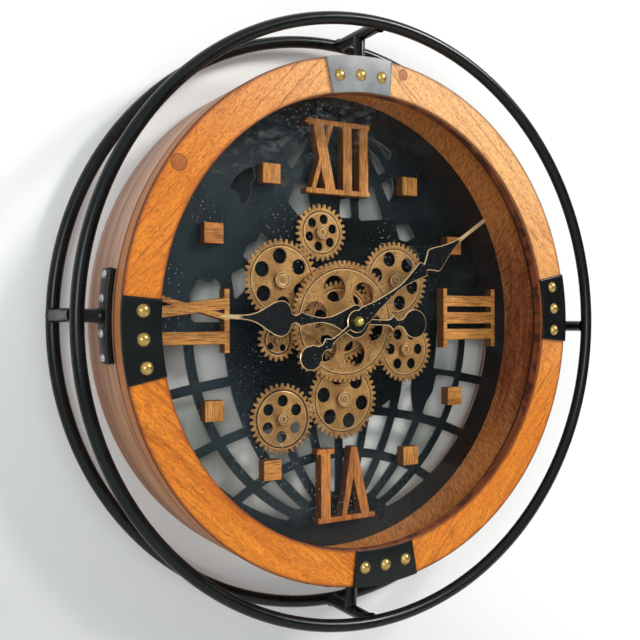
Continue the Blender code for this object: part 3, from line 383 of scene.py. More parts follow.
def turned(name, profile, centre=(0.0, 0.0), steps=TURNING_STEPS, closed=True, sharp=35.0):
    """A profile of (radius, y) points spun about an axis along Y through centre."""
    profile = np.asarray(profile, float)
    angle = np.linspace(0, 2 * np.pi, steps, endpoint=False)[None, :]
    radius = profile[:, :1]
    y = np.repeat(profile[:, 1:], steps, 1)
    grid = np.stack([centre[0] + radius * np.cos(angle), y, centre[1] + radius * np.sin(angle)], -1)
    return surface(name, grid, closed, True, sharp)


def refine(profile, step):
    """Adds points along a closed profile so that none are further apart than step."""
    points = np.asarray(profile, float)
    out = []
    for here, there in zip(points, np.roll(points, -1, 0)):
        count = max(1, int(np.ceil(np.linalg.norm(there - here) / step)))
        out.append(here + (there - here) * np.linspace(0, 1, count, endpoint=False)[:, None])
    return np.concatenate(out)


def board_points(mesh):
    """Board coordinates: along the grain, across it and through it.

    The face is four boards, so the grain of each quarter runs along its own chord.
    """
    place = points_of(mesh)
    angle = np.degrees(np.arctan2(place[:, 2], place[:, 0])) - 3.2
    quarter = np.floor(angle / 90.0)
    lean = np.radians(quarter * 90.0 + 48.2 + 90.0)
    along = place[:, 0] * np.cos(lean) + place[:, 2] * np.sin(lean)
    across = -place[:, 0] * np.sin(lean) + place[:, 2] * np.cos(lean)
    return np.stack([along + quarter * 3.7, across + quarter * 1.3, place[:, 1]], 1)


def stave_points(mesh):
    """Points on a circle of 0.25 m by depth, so that grain runs round; also each turn and radius."""
    place = points_of(mesh)
    radius = np.hypot(place[:, 0], place[:, 2])
    turn = np.arctan2(place[:, 2], place[:, 0])
    depth = place[:, 1] + 0.8 * (CASE_RADIUS - radius)
    return np.stack([np.cos(turn) * 0.25, depth, np.sin(turn) * 0.25], 1), turn, radius


def face_wood():
    """Orange-stained hardwood: long soft bands, growth rings, dense short pores, dark edges.

    A painted glare makes it paler at the upper right, where the lamp's light falls. Two stains and two
    plugged screws are painted at their places, and so are the dark lip and the bare side of the boards.
    """
    wood = Finish("face_wood", 0.42)
    board = wood.noted("board", "Vector")
    bands = wood.grain(board, (3.0, 40.0, 20.0), 5.0, 0.6, 0.5)
    patches = wood.grain(board, (20.0, 130.0, 40.0), 4.0, 0.6, 0.2)
    streaks = wood.grain(board, (110.0, 1400.0, 200.0), 4.0, 0.65)
    pores = wood.grain(board, (280.0, 1300.0, 600.0), 2.0, 0.5)
    pore = wood.fade(pores, 0.5, 0.62)
    rings = wood.grain(board, (2.2, 75.0, 30.0), 3.0, 0.5, 1.4)
    rings = wood.apart(wood.math("FRACT", wood.times(rings, 4.0)), 0.5)
    pore = wood.times(pore, wood.fade(patches, 0.35, 0.6, 0.6, 1.0))
    x, z = wood.side_and_height()
    # Painted glare: paler towards the upper right, standing for the lamp's sheen.
    painted_glare = wood.fade(wood.plus(wood.times(x, 0.55), z), 0.0, 0.33, 0.0, 0.85)
    colour = wood.over(
        wood.ramp(
            bands, (0.25, (0.42, 0.09, 0.006)), (0.42, (0.65, 0.175, 0.011)),
            (0.58, (0.78, 0.24, 0.016)), (0.75, (0.52, 0.125, 0.008)),
        ),
        (wood.fade(patches, 0.45, 0.72, 0.0, 0.5), (0.9, 0.33, 0.032)),
        (wood.fade(patches, 0.28, 0.45, 0.45, 0.0), (0.42, 0.095, 0.01)),
        (painted_glare, (1.0, 0.58, 0.24)),
        (wood.fade(streaks, 0.42, 0.66, 0.0, 0.4), (0.38, 0.085, 0.009)),
        (wood.fade(rings, 0.0, 0.14, 0.5, 0.0), (0.26, 0.05, 0.006)),
        (wood.times(pore, 0.55), (0.17, 0.035, 0.005)),
    )
    for x, z, reach, share in ((-0.2348, -0.0691, 0.011, 0.6), (-0.1473, -0.2052, 0.0022, 0.9)):
        away = wood.plus(wood.away((x, FACE_Y, z)), wood.times(patches, reach * 0.8))
        colour = wood.mix(wood.fade(away, 0.2 * reach, reach, share, 0.0), colour, (0.2, 0.03, 0.006))
    for x, z, reach in ((-0.2064, 0.1376, 0.0072), (0.0317, 0.2466, 0.0052)):
        away = wood.away((x, FACE_Y, z))
        plug = wood.fade(away, reach - 0.0004, reach + 0.0004, 0.8, 0.0)
        grain = wood.mix(wood.fade(streaks, 0.35, 0.65), (0.2, 0.055, 0.012), (0.42, 0.12, 0.022))
        rim = wood.fade(wood.apart(away, reach), 0.0, 0.001, 0.75, 0.0)
        colour = wood.over(colour, (plug, grain), (rim, (0.12, 0.03, 0.008)))
    lip = wood.mix(wood.fade(patches, 0.42, 0.58), (0.05, 0.01, 0.006), (0.22, 0.05, 0.018))
    bare = wood.mix(streaks, (0.34, 0.12, 0.04), (0.62, 0.27, 0.1))
    colour = wood.over(
        colour, (wood.noted("lip"), lip), (wood.noted("side"), bare), (wood.noted("edge"), (0.11, 0.02, 0.007))
    )
    rough = wood.fade(streaks, 0.3, 0.7, 0.4, 0.56)
    height = wood.minus(wood.times(streaks, 0.5), pore)
    return wood.finish(colour, rough, height, 0.0002, 0.25, Specular_IOR_Level=0.3)


def drum_wood():
    """Pinkish brown hardwood bent round the drum, with long dark grain lines, a darker tan towards the bottom.

    Inside it is redder, pitted and sawn at a slant; painted light makes it orange, with fewer saw marks, at
    the top and at the foot.
    """
    wood = Finish("drum_wood", 0.55)
    board = wood.noted("board", "Vector")
    inside = wood.noted("inside")
    flow = wood.grain(board, (4.5, 40.0, 4.5), 3.0, 0.5, 0.6)
    lines = wood.grain(board, (7.0, 460.0, 7.0), 5.0, 0.62, 0.8)
    dark = wood.fade(lines, 0.49, 0.63)
    colour = wood.ramp(flow, (0.3, (0.42, 0.2, 0.12)), (0.5, (0.64, 0.38, 0.26)), (0.7, (0.75, 0.5, 0.38)))
    tan = wood.ramp(
        flow, (0.3, (0.26, 0.09, 0.035)), (0.5, (0.42, 0.175, 0.075)), (0.7, (0.55, 0.27, 0.13))
    )
    # Darker and tanner towards the bottom.
    colour = wood.mix(wood.fade(wood.split(wood.place())[2], -0.13, 0.13), tan, colour)
    colour = wood.mix(wood.times(dark, 0.75), colour, (0.15, 0.055, 0.028))
    hatch = wood.noted("hatch", "Vector")
    saw = wood.grain(hatch, (420.0, 55.0, 0.0), 4.0, 0.68, 0.5)
    band = wood.grain(board, (12.0, 110.0, 12.0), 5.0, 0.65, 0.8)
    pits = wood.fade(wood.cells(wood.scaled(board, (300.0, 360.0, 300.0))), 0.16, 0.34, 1.0, 0.0)
    pits = wood.times(pits, wood.fade(band, 0.48, 0.6))
    red = wood.ramp(band, (0.36, (0.24, 0.04, 0.01)), (0.5, (0.5, 0.14, 0.04)), (0.64, (0.75, 0.32, 0.1)))
    # Painted light: the inside turns orange, and its saw marks fade, at the top and at the foot.
    high = wood.split(wood.place())[2]
    top = wood.fade(high, 0.04, 0.14, 0.0, 0.9)
    ends = wood.math("MAXIMUM", top, wood.fade(high, -0.17, -0.07, 1.0, 0.0))
    orange = wood.mix(band, (1.0, 0.25, 0.04), (1.0, 0.48, 0.14))
    sawn = wood.times(wood.fade(saw, 0.46, 0.58, 0.0, 0.85), wood.fade(ends, 0.0, 1.0, 1.0, 0.6))
    pit = wood.times(pits, 0.85)
    inner = wood.over(red, (ends, orange), (sawn, (0.2, 0.04, 0.01)), (pit, (0.07, 0.02, 0.009)))
    colour = wood.mix(inside, colour, inner)
    height = wood.minus(wood.times(saw, inside), wood.plus(dark, pits))
    return wood.finish(colour, wood.fade(flow, 0.3, 0.7, 0.5, 0.65), height, 0.0003, 0.5)


face_profile = [
    (FACE_INNER, RABBET_Y), (FACE_INNER, FACE_Y), (CASE_RADIUS, FACE_Y), (CASE_RADIUS, JOINT_Y),
    (RABBET_RADIUS, JOINT_Y), (RABBET_RADIUS, RABBET_Y),
]
face_ring = turned("face_ring", refine(rounded(face_profile, 0.0011, 4), 0.0022))
place = points_of(face_ring)
radius = np.hypot(place[:, 0], place[:, 2])
note(face_ring, "board", board_points(face_ring))
outer_corner = np.hypot(radius - CASE_RADIUS, place[:, 1] - FACE_Y)
inner_corner = np.hypot(radius - FACE_INNER, place[:, 1] - FACE_Y)
# A dark line along the front's outer and inner corners.
dark_corners = np.exp(-((outer_corner / 0.0021) ** 2)) + np.exp(-((inner_corner / 0.0014) ** 2))
side = radius > CASE_RADIUS - 0.0005
seam = side & (place[:, 1] > JOINT_Y - 0.0035)
note(face_ring, "side", 0.85 * side)
note(face_ring, "lip", 0.97 * ((radius < FACE_INNER + 0.0002) & (place[:, 1] > FACE_Y + 0.0015)))
note(face_ring, "edge", np.clip(dark_corners + 0.8 * seam, 0, 1))
show("bezel", face_ring, face_wood(), "case", "bezel_wood", "wood_bezel")

drum_profile = [
    (LEDGE_INNER, 0.0), (LEDGE_INNER, LEDGE_Y), (DRUM_INNER, LEDGE_Y), (DRUM_INNER, DRUM_FRONT),
    (CASE_RADIUS, DRUM_FRONT), (CASE_RADIUS, 0.0),
]
drum = turned("drum", refine(rounded(drum_profile, 0.0014, 4), 0.006))
staves, turn, radius = stave_points(drum)
note(drum, "board", staves)
around = DRUM_INNER * np.abs(turn)
depth = points_of(drum)[:, 1]
note(drum, "inside", ((radius < CASE_RADIUS - 0.004) & (depth < -0.002)).astype(float))
note(drum, "hatch", np.stack([around + 0.7 * depth, depth - 0.7 * around, depth], 1))
show("drum", drum, drum_wood(), "case", "drum_wood", "wood_drum")


# Dial: a steel disc cut through between the bars of a globe, painted satin slate black.
# The openings follow the arcs of meridians and parallels in the south and coasts in the north.
DIAL_RADIUS = 0.2357
DIAL_FRONT = -0.026
DIAL_BACK = -0.024
GLOBE_RADIUS = 0.212
GLOBE_DROP = 0.005
GLOBE_BAR = 0.010
PARALLEL_STEP = 0.0447
PARALLEL_LIMB_STEP = 18.3
ARC_STEPS = 9
BUSHING_HOLE = 0.0043
PLATE_SHARP_ANGLE = 30


def circle(radius, steps, centre=(0.0, 0.0)):
    """A round outline of (x, z) points, anticlockwise."""
    angle = np.linspace(0, 2 * np.pi, steps, endpoint=False)
    return np.stack([centre[0] + radius * np.cos(angle), centre[1] + radius * np.sin(angle)], 1)


def inset(outline, distance):
    """Every point moved to the left of travel by distance, square to the mean of its two sides."""
    ahead = np.roll(outline, -1, 0) - outline
    ahead /= np.linalg.norm(ahead, axis=1)[:, None]
    behind = np.roll(ahead, 1, 0)
    left = np.stack([-(ahead + behind)[:, 1], (ahead + behind)[:, 0]], 1)
    length = np.linalg.norm(left, axis=1)[:, None]
    left /= np.maximum(length, 1e-9)
    return outline + left * distance / np.maximum(length / 2, 0.5)


def handed(outline, turning):
    """The outline running anticlockwise (1) or clockwise (-1)."""
    x, z = outline[:, 0], outline[:, 1]
    area = np.sum(x * np.roll(z, -1) - np.roll(x, -1) * z)
    return outline if area * turning > 0 else outline[::-1]


def plate(name, outlines, front, back, bevel, bevel_depth=None):
    """A flat plate with bevelled edges: the first outline is its edge and the others are holes.

    Each outline makes four loops (inset at the front, full twice, inset at the back) joined by
    strips, and the two faces are triangles between the inset loops. The attribute edge is 1 on the
    full loops and 0 on the faces.
    """
    drop = bevel if bevel_depth is None else bevel_depth
    outlines = [handed(np.asarray(o, float), 1 if i == 0 else -1) for i, o in enumerate(outlines)]
    small = [inset(o, bevel) for o in outlines]
    counts = [len(o) for o in outlines]
    total = sum(counts)
    levels = []
    for loops, y in ((small, front), (outlines, front + drop), (outlines, back - drop), (small, back)):
        flat = np.concatenate(loops)
        levels.append(np.stack([flat[:, 0], np.full(total, y), flat[:, 1]], 1))
    faces = []
    start = 0
    for count in counts:
        here = start + np.arange(count)
        there = start + (np.arange(count) + 1) % count
        for level in range(3):
            low, high = level * total, (level + 1) * total
            faces += np.stack([here + low, here + high, there + high, there + low], 1).tolist()
        start += count
    flat = [[Vector((1000 * x, 1000 * z, 0)) for x, z in o] for o in small]
    caps = np.array(tessellate_polygon(flat))
    corner = np.concatenate(small)[caps]
    sense = np.cross(corner[:, 1] - corner[:, 0], corner[:, 2] - corner[:, 0]) < 0
    caps[sense] = caps[sense][:, ::-1]
    faces += caps.tolist() + (caps[:, ::-1] + 3 * total).tolist()
    mesh = bpy.data.meshes.new(name)
    mesh.from_pydata(np.concatenate(levels).tolist(), [], faces)
    note(mesh, "edge", np.repeat([0.0, 1.0, 1.0, 0.0], total))
    mesh.shade_smooth()
    mesh.set_sharp_from_angle(angle=math.radians(PLATE_SHARP_ANGLE))
    return mesh


def meridian_x(number, side, z):
    """Where the edge of a meridian's bar crosses height z: a circle through both poles."""
    if number == 0:
        return np.full_like(z, side * GLOBE_BAR / 2)
    crossing = GLOBE_RADIUS * number / 5
    centre = 0.0 if number == 5 else (crossing**2 - GLOBE_RADIUS**2) / (2 * crossing)
    reach = crossing - centre + side * GLOBE_BAR / 2
    return centre + np.sqrt(np.maximum(reach**2 - z**2, 0))


def parallel_z(number, side, x):
    """The height of the edge of a southern parallel's bar at x: a circle about a point below."""
    if number == 0:
        return np.full_like(x, side * GLOBE_BAR / 2)
    height = PARALLEL_STEP * number
    limb = GLOBE_RADIUS * math.sin(math.radians(PARALLEL_LIMB_STEP * number))
    centre = (GLOBE_RADIUS**2 - height**2) / (2 * (limb - height))
    return -centre + np.sqrt(np.maximum((centre - height + side * GLOBE_BAR / 2) ** 2 - x**2, 0))


def crossing(column, column_side, row, row_side):
    """Where a meridian's edge meets a parallel's edge, found by repeated substitution."""
    x, z = np.array(GLOBE_RADIUS * column / 5), np.array(0.0)
    for _ in range(60):
        z = parallel_z(row, row_side, x)
        x = 0.5 * (x + meridian_x(column, column_side, z))
    return float(x), float(z)


def globe_window(column, row, mirror):
    """The opening between two meridians and two parallels, its four sides following their arcs."""
    a = crossing(column, 1, row, -1)
    b = crossing(column + 1, -1, row, -1)
    c = crossing(column + 1, -1, row + 1, 1)
    d = crossing(column, 1, row + 1, 1)
    top = np.linspace(a[0], b[0], ARC_STEPS)[:-1]
    right = np.linspace(b[1], c[1], ARC_STEPS)[:-1]
    low = np.linspace(c[0], d[0], ARC_STEPS)[:-1]
    left = np.linspace(d[1], a[1], ARC_STEPS)[:-1]
    x = np.concatenate([top, meridian_x(column + 1, -1, right), low, meridian_x(column, 1, left)])
    z = np.concatenate([parallel_z(row, -1, top), right, parallel_z(row + 1, 1, low), left])
    return np.stack([mirror * x, z - GLOBE_DROP], 1)


def softened(points):
    """Millimetres to metres, with each corner cut a tenth of the way along its two sides."""
    points = np.asarray(points, float) * 0.001
    after = np.roll(points, -1, 0)
    return np.stack([0.9 * points + 0.1 * after, 0.1 * points + 0.9 * after], 1).reshape(-1, 2)


# row: open columns to the left of the axis, then to the right
globe_openings = {
    0: ((3, 4), (3, 4)),
    1: ((3, 4), (4,)),
    2: ((0, 1, 2, 3, 4), (0, 1, 2, 3, 4)),
    3: ((0, 1, 2, 3, 4), (0, 1, 2, 3, 4)),
}
coast_openings = [
    [(55, -93), (67, -86), (65, -95)],
    [(84, -62), (97, -62), (95, -75), (96, -87), (98, -101), (76, -97), (81, -80)],
    [(131, -61), (158, -65), (152, -79), (144, -97), (137, -111), (111, -104), (117, -91), (126, -80)],
    [(-166, 0), (-167, 27), (-161, 39), (-156, 42), (-151, 39),
     (-146, 38), (-141, 42), (-137, 39), (-134, 30), (-132, 0)],
    [(-120, 22), (-124, 47), (-111, 54), (-103, 46), (-110, 30)],
    [(-111, 65), (-106, 76), (-96, 81), (-91, 89), (-83, 83), (-80, 70), (-90, 60), (-104, 60)],
    [(-125, 132), (-119, 143), (-108, 152), (-99, 155), (-97, 144),
     (-101, 139), (-102, 127), (-107, 116), (-114, 118), (-113, 125)],
    [(-74, 182), (-60, 190), (-47, 196), (-57, 187), (-67, 178)],
    [(-62, 164), (-50, 179), (-37, 190), (-43, 174), (-55, 156)],
    [(-68, 150), (-59, 147), (-62, 138), (-69, 140)],
    [(-50, 146), (-40, 143), (-36, 129), (-34, 116), (-47, 108), (-60, 122)],
    [(3, 129), (15, 131), (17, 110), (2, 110)],
    [(26, 130), (44, 147), (52, 126), (58, 111), (27, 108)],
    [(40, 186), (52, 177), (61, 163), (52, 159), (43, 174)],
    [(43, 198), (57, 193), (70, 185), (66, 176), (54, 188)],
    [(56, 150), (70, 158), (73, 143), (66, 130)],
    [(75, 106), (92, 107), (101, 94), (90, 88), (80, 90)],
    [(86, 72), (92, 84), (99, 83), (106, 74), (104, 64), (95, 60)],
]


def dial_paint():
    """Satin slate-black spray paint, faintly cloudy, with painted shade making it darker in the middle, under
    the gears, and towards the right, in the bezel's shadow.
    """
    paint = Finish("dial_paint", 0.3)
    cloud = paint.noise(paint.place(), 14.0, 5.0, 0.6)
    grain = paint.noise(paint.place(), 900.0, 2.0)
    reach = paint.reach()
    # Painted shade: darker in the middle, under the gears, and towards the right, in the bezel's shadow.
    colour = paint.over(
        paint.ramp(cloud, (0.3, (0.004, 0.0095, 0.012)), (0.7, (0.010, 0.023, 0.029))),
        (paint.fade(reach, 0.09, 0.17, 0.85, 0.0), (0.001, 0.0015, 0.0015)),
        (paint.fade(paint.side_and_height()[0], -0.05, 0.16, 0.0, 0.6), (0.002, 0.0035, 0.003)),
        (paint.times(paint.noted("edge"), 0.6), (0.26, 0.3, 0.29)),
    )
    # The specular level is lower in the middle as well, standing for reflections that the gears block.
    gloss = paint.fade(reach, 0.09, 0.17, 0.15, 0.5)
    paint.shader.inputs["Specular IOR Level"].default_value = 0.4
    rough = paint.fade(cloud, 0.3, 0.7, 0.22, 0.32)
    return paint.finish(colour, rough, grain, 0.0001, 0.25, Specular_IOR_Level=gloss)


openings = [circle(DIAL_RADIUS, 256)]
for row, (left, right) in globe_openings.items():
    openings += [globe_window(column, row, -1) for column in left]
    openings += [globe_window(column, row, 1) for column in right]
openings += [softened(coast) for coast in coast_openings]
openings.append(circle(BUSHING_HOLE, 24))
dial = plate("dial", openings, DIAL_FRONT, DIAL_BACK, 0.00035)
show("dial", dial, dial_paint(), "case", "dial_paint", "dial_plate")


# Gears: cast and machined wheels in antique bronze, with slender rounded teeth, drilled webs and
# a turned groove with a pale ridge inside the teeth. Each small wheel spins on a post with a round
# slotted head; the motor's pinion drives the wheel that is hidden behind the big one.
MODULE = 0.00202
ADDENDUM = 0.0016
DEDENDUM = 0.0026
LAYER_FRONT = -0.0305
LAYER_BACK = -0.0275
BIG_FRONT = -0.0395
BIG_BACK = -0.036
POST_FRONT = -0.0348
TOOTH_STEPS = 12
TOOTH_BASE = 0.0047
TOOTH_CROWN = 0.0016
HUB_BORE = 0.0063
POST_BORE = 0.0033
PINION_TEETH = 12

# name: mate, direction to it, teeth, holes (count, orbit, radius, first angle), groove radius, head radius
wheels = {
    "hidden": (None, 0.0, 41, (6, 0.0250, 0.0080, 49.7), 0.0350, 0.0),
    "left_top": ("hidden", 149.0, 40, (6, 0.0244, 0.0079, 34.2), 0.0351, 0.0084),
    "right_top": ("hidden", 31.9, 41, (6, 0.0247, 0.0080, 46.0), 0.0348, 0.0076),
    "bottom": ("hidden", 272.1, 40, (6, 0.0242, 0.0079, 47.6), 0.0342, 0.0079),
    "top": ("left_top", 46.9, 28, (6, 0.0144, 0.0050, 17.5), 0.0219, 0.0067),
    "small": ("left_top", 265.6, 20, (4, 0.0099, 0.0038, 37.8), 0.0144, 0.0044),
    "right_bottom": ("right_top", 280.1, 34, (6, 0.0185, 0.0059, 59.1), 0.0287, 0.0065),
    "bottom_left": ("bottom", 192.7, 34, (6, 0.0183, 0.0060, 27.1), 0.0290, 0.0060),
}


def meshed(mate_place, mate_teeth, direction, teeth):
    """The axis and phase of a wheel whose tooth meets a gap of its mate on their centre line."""
    x, z, phase = mate_place
    reach = MODULE * (mate_teeth + teeth) / 2
    lean = math.radians(direction)
    shift = ((direction - phase) * mate_teeth / 360.0) % 1.0
    turned_by = direction + 180.0 - (0.5 - shift) * 360.0 / teeth
    return x + reach * math.cos(lean), z + reach * math.sin(lean), turned_by


def tooth_line(teeth, root, tip, phase):
    """Teeth as radius against angle.

    In one pitch the arc distance s from a tooth's middle gives the radius: tip while s is inside
    half the crown, root outside half the base, and a half cosine between them, so that tips and
    roots are round.
    """
    steps = teeth * TOOTH_STEPS
    angle = 2 * np.pi * np.arange(steps) / steps
    pitch = 2 * np.pi / teeth
    apart = np.abs((angle + pitch / 2) % pitch - pitch / 2) * (root + tip) / 2
    flank = np.clip((2 * apart - TOOTH_CROWN) / (TOOTH_BASE - TOOTH_CROWN), 0, 1)
    radius = root + (tip - root) * (0.5 + 0.5 * np.cos(np.pi * flank))
    angle = angle + math.radians(phase)
    return np.stack([radius * np.cos(angle), radius * np.sin(angle)], 1)


def wheel(name, centre, teeth, phase, tip, holes, bore, front, back):
    """A gear wheel about its own axis, moved to its centre; holes are count, orbit, radius, angle."""
    root = tip - ADDENDUM - DEDENDUM
    outlines = [tooth_line(teeth, root, tip, phase)]
    count, orbit, hole, first = holes
    for i in range(count):
        lean = math.radians(first + 360.0 * i / count)
        outlines.append(circle(hole, 40, (orbit * math.cos(lean), orbit * math.sin(lean))))
    outlines.append(circle(bore, 24))
    mesh = plate(name, outlines, front, back, 0.00045)
    return moved(mesh, centre)


def moved(mesh, centre):
    """Keeps the mesh's own coordinates as the attribute wheel, then moves it to its centre."""
    place = points_of(mesh)
    note(mesh, "wheel", place)
    place[:, 0] += centre[0]
    place[:, 2] += centre[1]
    mesh.vertices.foreach_set("co", place.astype(np.float32).ravel())
    return mesh


def antique_bronze(name, groove, tone=0.0, slot=0.0, groove_width=0.0006):
    """Brown bronze rubbed pale on its edges: fine turned lines, mottled tarnish and one dark groove.

    A pale ridge runs inside the groove. With slot 1 a post's head gets a dark screw slot.
    """
    metal = Finish(name, 0.42, 0.6)
    own = metal.noted("wheel", "Vector")
    cloud = metal.noise(own, 26.0, 2.0)
    parts = metal.split(own)
    flat = metal.add("ShaderNodeCombineXYZ", X=parts[0], Y=parts[2], Z=0.0).outputs[0]
    radius = metal.add("ShaderNodeVectorMath", {"operation": "LENGTH"}, _0=flat).outputs["Value"]
    lines = metal.add("ShaderNodeTexNoise", {"noise_dimensions": "1D"}, W=radius, Scale=1900.0, Detail=3.0)
    lines = lines.outputs["Fac"]
    tarnish = metal.noise(own, 75.0, 6.0, 0.65)
    specks = metal.noise(own, 620.0, 3.0, 0.6)
    ridge = metal.apart(radius, groove - 0.0013)
    cut = metal.apart(radius, groove)
    cut = metal.fade(cut, 0.5 * groove_width, 1.3 * groove_width, 1.0, 0.0)
    across = metal.fade(metal.math("ABSOLUTE", parts[0]), 0.0004, 0.0008, slot, 0.0)
    along = metal.fade(metal.apart(parts[2], 0.0005), 0.0014, 0.0018, 1.0, 0.0)
    slotted = metal.times(across, along)
    colour = metal.over(
        metal.ramp(
            tarnish, (0.3, (0.22 + tone, 0.085 + tone, 0.02)), (0.48, (0.58 + tone, 0.28 + tone, 0.08)),
            (0.68, (0.88 + tone, 0.5 + tone, 0.17)),
        ),
        (metal.fade(lines, 0.35, 0.7, 0.0, 0.3), (0.85, 0.5, 0.2)),
        (metal.fade(specks, 0.52, 0.66, 0.0, 0.75), (0.09, 0.035, 0.01)),
        (metal.fade(cloud, 0.42, 0.6, 0.35, 0.0), (0.2, 0.085, 0.025)),
        (metal.fade(ridge, 0.0003, 0.0009, 0.5, 0.0), (1.0, 0.66, 0.32)),
        (metal.times(cut, 0.9), (0.03, 0.014, 0.006)),
        (metal.times(metal.noted("edge"), 0.8), (1.0, 0.62, 0.3)),
        (slotted, (0.03, 0.012, 0.005)),
    )
    height = metal.minus(metal.times(lines, 0.15), metal.math("MAXIMUM", cut, slotted))
    rough = metal.fade(tarnish, 0.3, 0.7, 0.5, 0.34)
    return metal.finish(colour, rough, height, 0.0005, 0.6)


places = {}
for name, (mate, direction, teeth, holes, groove, _) in wheels.items():
    if mate is None:
        places[name] = (0.0, 0.0, 0.0)
    else:
        places[name] = meshed(places[mate], wheels[mate][2], direction, teeth)
    x, z, phase = places[name]
    bore = HUB_BORE if mate is None else POST_BORE
    label = "centre_gear" if mate is None else "gear_" + name
    tip = MODULE * teeth / 2 + ADDENDUM
    blank = wheel("wheel_" + name, (x, z), teeth, phase, tip, holes, bore, LAYER_FRONT, LAYER_BACK)
    width = 0.0012 if name in ("small", "bottom_left") else 0.0006
    bronze = antique_bronze("bronze_" + name, groove, groove_width=width)
    show("wheel_" + name, blank, bronze, label, "bronze", "gear_" + name)

big_holes = (6, 0.0360, 0.0138, 49.3)
big = wheel("wheel_centre", (0.0, 0.0), 68, 0.0, 0.0637, big_holes, 0.0064, BIG_FRONT, BIG_BACK)
show("wheel_centre", big, antique_bronze("bronze_centre", 0.0553), "centre_gear", "bronze", "centre_gear")
hub_profile = [(HUB_BORE, -0.0428), (0.010, -0.0428), (0.010, -0.0308), (HUB_BORE, -0.0308)]
hub = moved(turned("centre_hub", rounded(hub_profile, 0.0006, 3), steps=48), (0.0, 0.0))
note(hub, "edge", np.full(len(hub.vertices), 0.25))
show("centre_hub", hub, antique_bronze("bronze_hub", 0.5), "centre_gear", "bronze")


def post_mesh(name, centre, head):
    """A fixed post: a head with a small boss and a turned ring, a shank, a flange and a rivet."""
    # share of the head's radius, depth behind the head's front
    crown = [
        (0.0, 0.0), (0.2, 0.0001), (0.27, 0.0006), (0.3, 0.0010), (0.76, 0.0010), (0.84, 0.0006),
        (0.93, 0.0007), (1.0, 0.0012), (1.0, 0.0022), (0.94, 0.0026), (0.72, 0.0028),
    ]
    profile = [(head * share, POST_FRONT + depth) for share, depth in crown] + [
        (head * 0.72, -0.0308), (0.003, -0.0308), (0.003, -0.0272), (0.006, -0.0272), (0.006, -0.0263),
        (0.0022, -0.0263), (0.0022, -0.0237), (0.0038, -0.0237), (0.0034, -0.0225), (0.0, -0.0225),
    ]
    mesh = moved(turned(name, profile, steps=48, closed=False), centre)
    place = points_of(mesh)
    reach = np.hypot(place[:, 0] - centre[0], place[:, 2] - centre[1])
    rim = (reach > head * 0.8) & (place[:, 1] < POST_FRONT + 0.0015)
    boss = reach < head * 0.24
    note(mesh, "edge", np.where(rim, 0.6, np.where(boss, 0.7, 0.05)))
    return mesh


for name, (mate, *_, head) in wheels.items():
    if mate is not None:
        post = post_mesh("peg_" + name, places[name][:2], head)
        bronze = antique_bronze("bronze_peg_" + name, head * 0.8, 0.0, 1.0, 0.0009)
        show("peg_" + name, post, bronze, "case", "bronze", "post_" + name)

*pinion_place, phase = meshed(places["hidden"], wheels["hidden"][2], 225.0, PINION_TEETH)
root = MODULE * PINION_TEETH / 2 - DEDENDUM
pinion_line = tooth_line(PINION_TEETH, root, root + ADDENDUM + DEDENDUM, phase)
pinion = moved(plate("pinion", [pinion_line], LAYER_FRONT, LAYER_BACK, 0.0004), pinion_place)
show("pinion", pinion, antique_bronze("pinion_brass", 0.5, 0.08), "pinion", "brass", "drive_pinion")
shaft_profile = [(0.0, -0.0315), (0.0013, -0.0315), (0.0015, -0.0313), (0.0015, -0.0157), (0.0, -0.0157)]
shaft = turned("pinion_shaft", shaft_profile, pinion_place, 24, False)


def polished_brass(name, colour=(0.7, 0.52, 0.2), roughness=0.2):
    """Turned and polished brass with faint wear."""
    metal = Finish(name, roughness, 0.75)
    wear = metal.noise(metal.place(), 420.0, 4.0, 0.6)
    dark = tuple(0.62 * c for c in colour)
    worn = metal.ramp(wear, (0.3, dark), (0.65, colour))
    return metal.finish(worn, metal.fade(wear, 0.3, 0.7, roughness, roughness + 0.14), wear, 0.0001, 0.3)


show("pinion_shaft", shaft, polished_brass("shaft_steel", (0.6, 0.6, 0.6)), "pinion", "brass")


# Numerals and hour blocks: sawn from one board of stained hardwood and glued to the dial.
# Their edges are eased by hand, and each piece keeps its own tone and grain.
def joined_faces(name, node):
    """A copy of a solid's mesh with doubles merged and coplanar triangles joined."""
    mesh = nodes[node].data.copy()
    mesh.name = name
    work = bmesh.new()
    work.from_mesh(mesh)
    bmesh.ops.remove_doubles(work, verts=work.verts, dist=1e-6)
    bmesh.ops.dissolve_limit(work, angle_limit=math.radians(1.0), verts=work.verts, edges=work.edges)
    work.to_mesh(mesh)
    work.free()
    return mesh


def ease(piece, width):
    """Rounds a piece's edges with a bevel and shades it smooth."""
    piece.data.shade_smooth()
    bevel = piece.modifiers.new("eased_edges", "BEVEL")
    bevel.width = width
    bevel.segments = 2
    bevel.limit_method = "ANGLE"
    bevel.angle_limit = math.radians(30)
    bevel.harden_normals = True


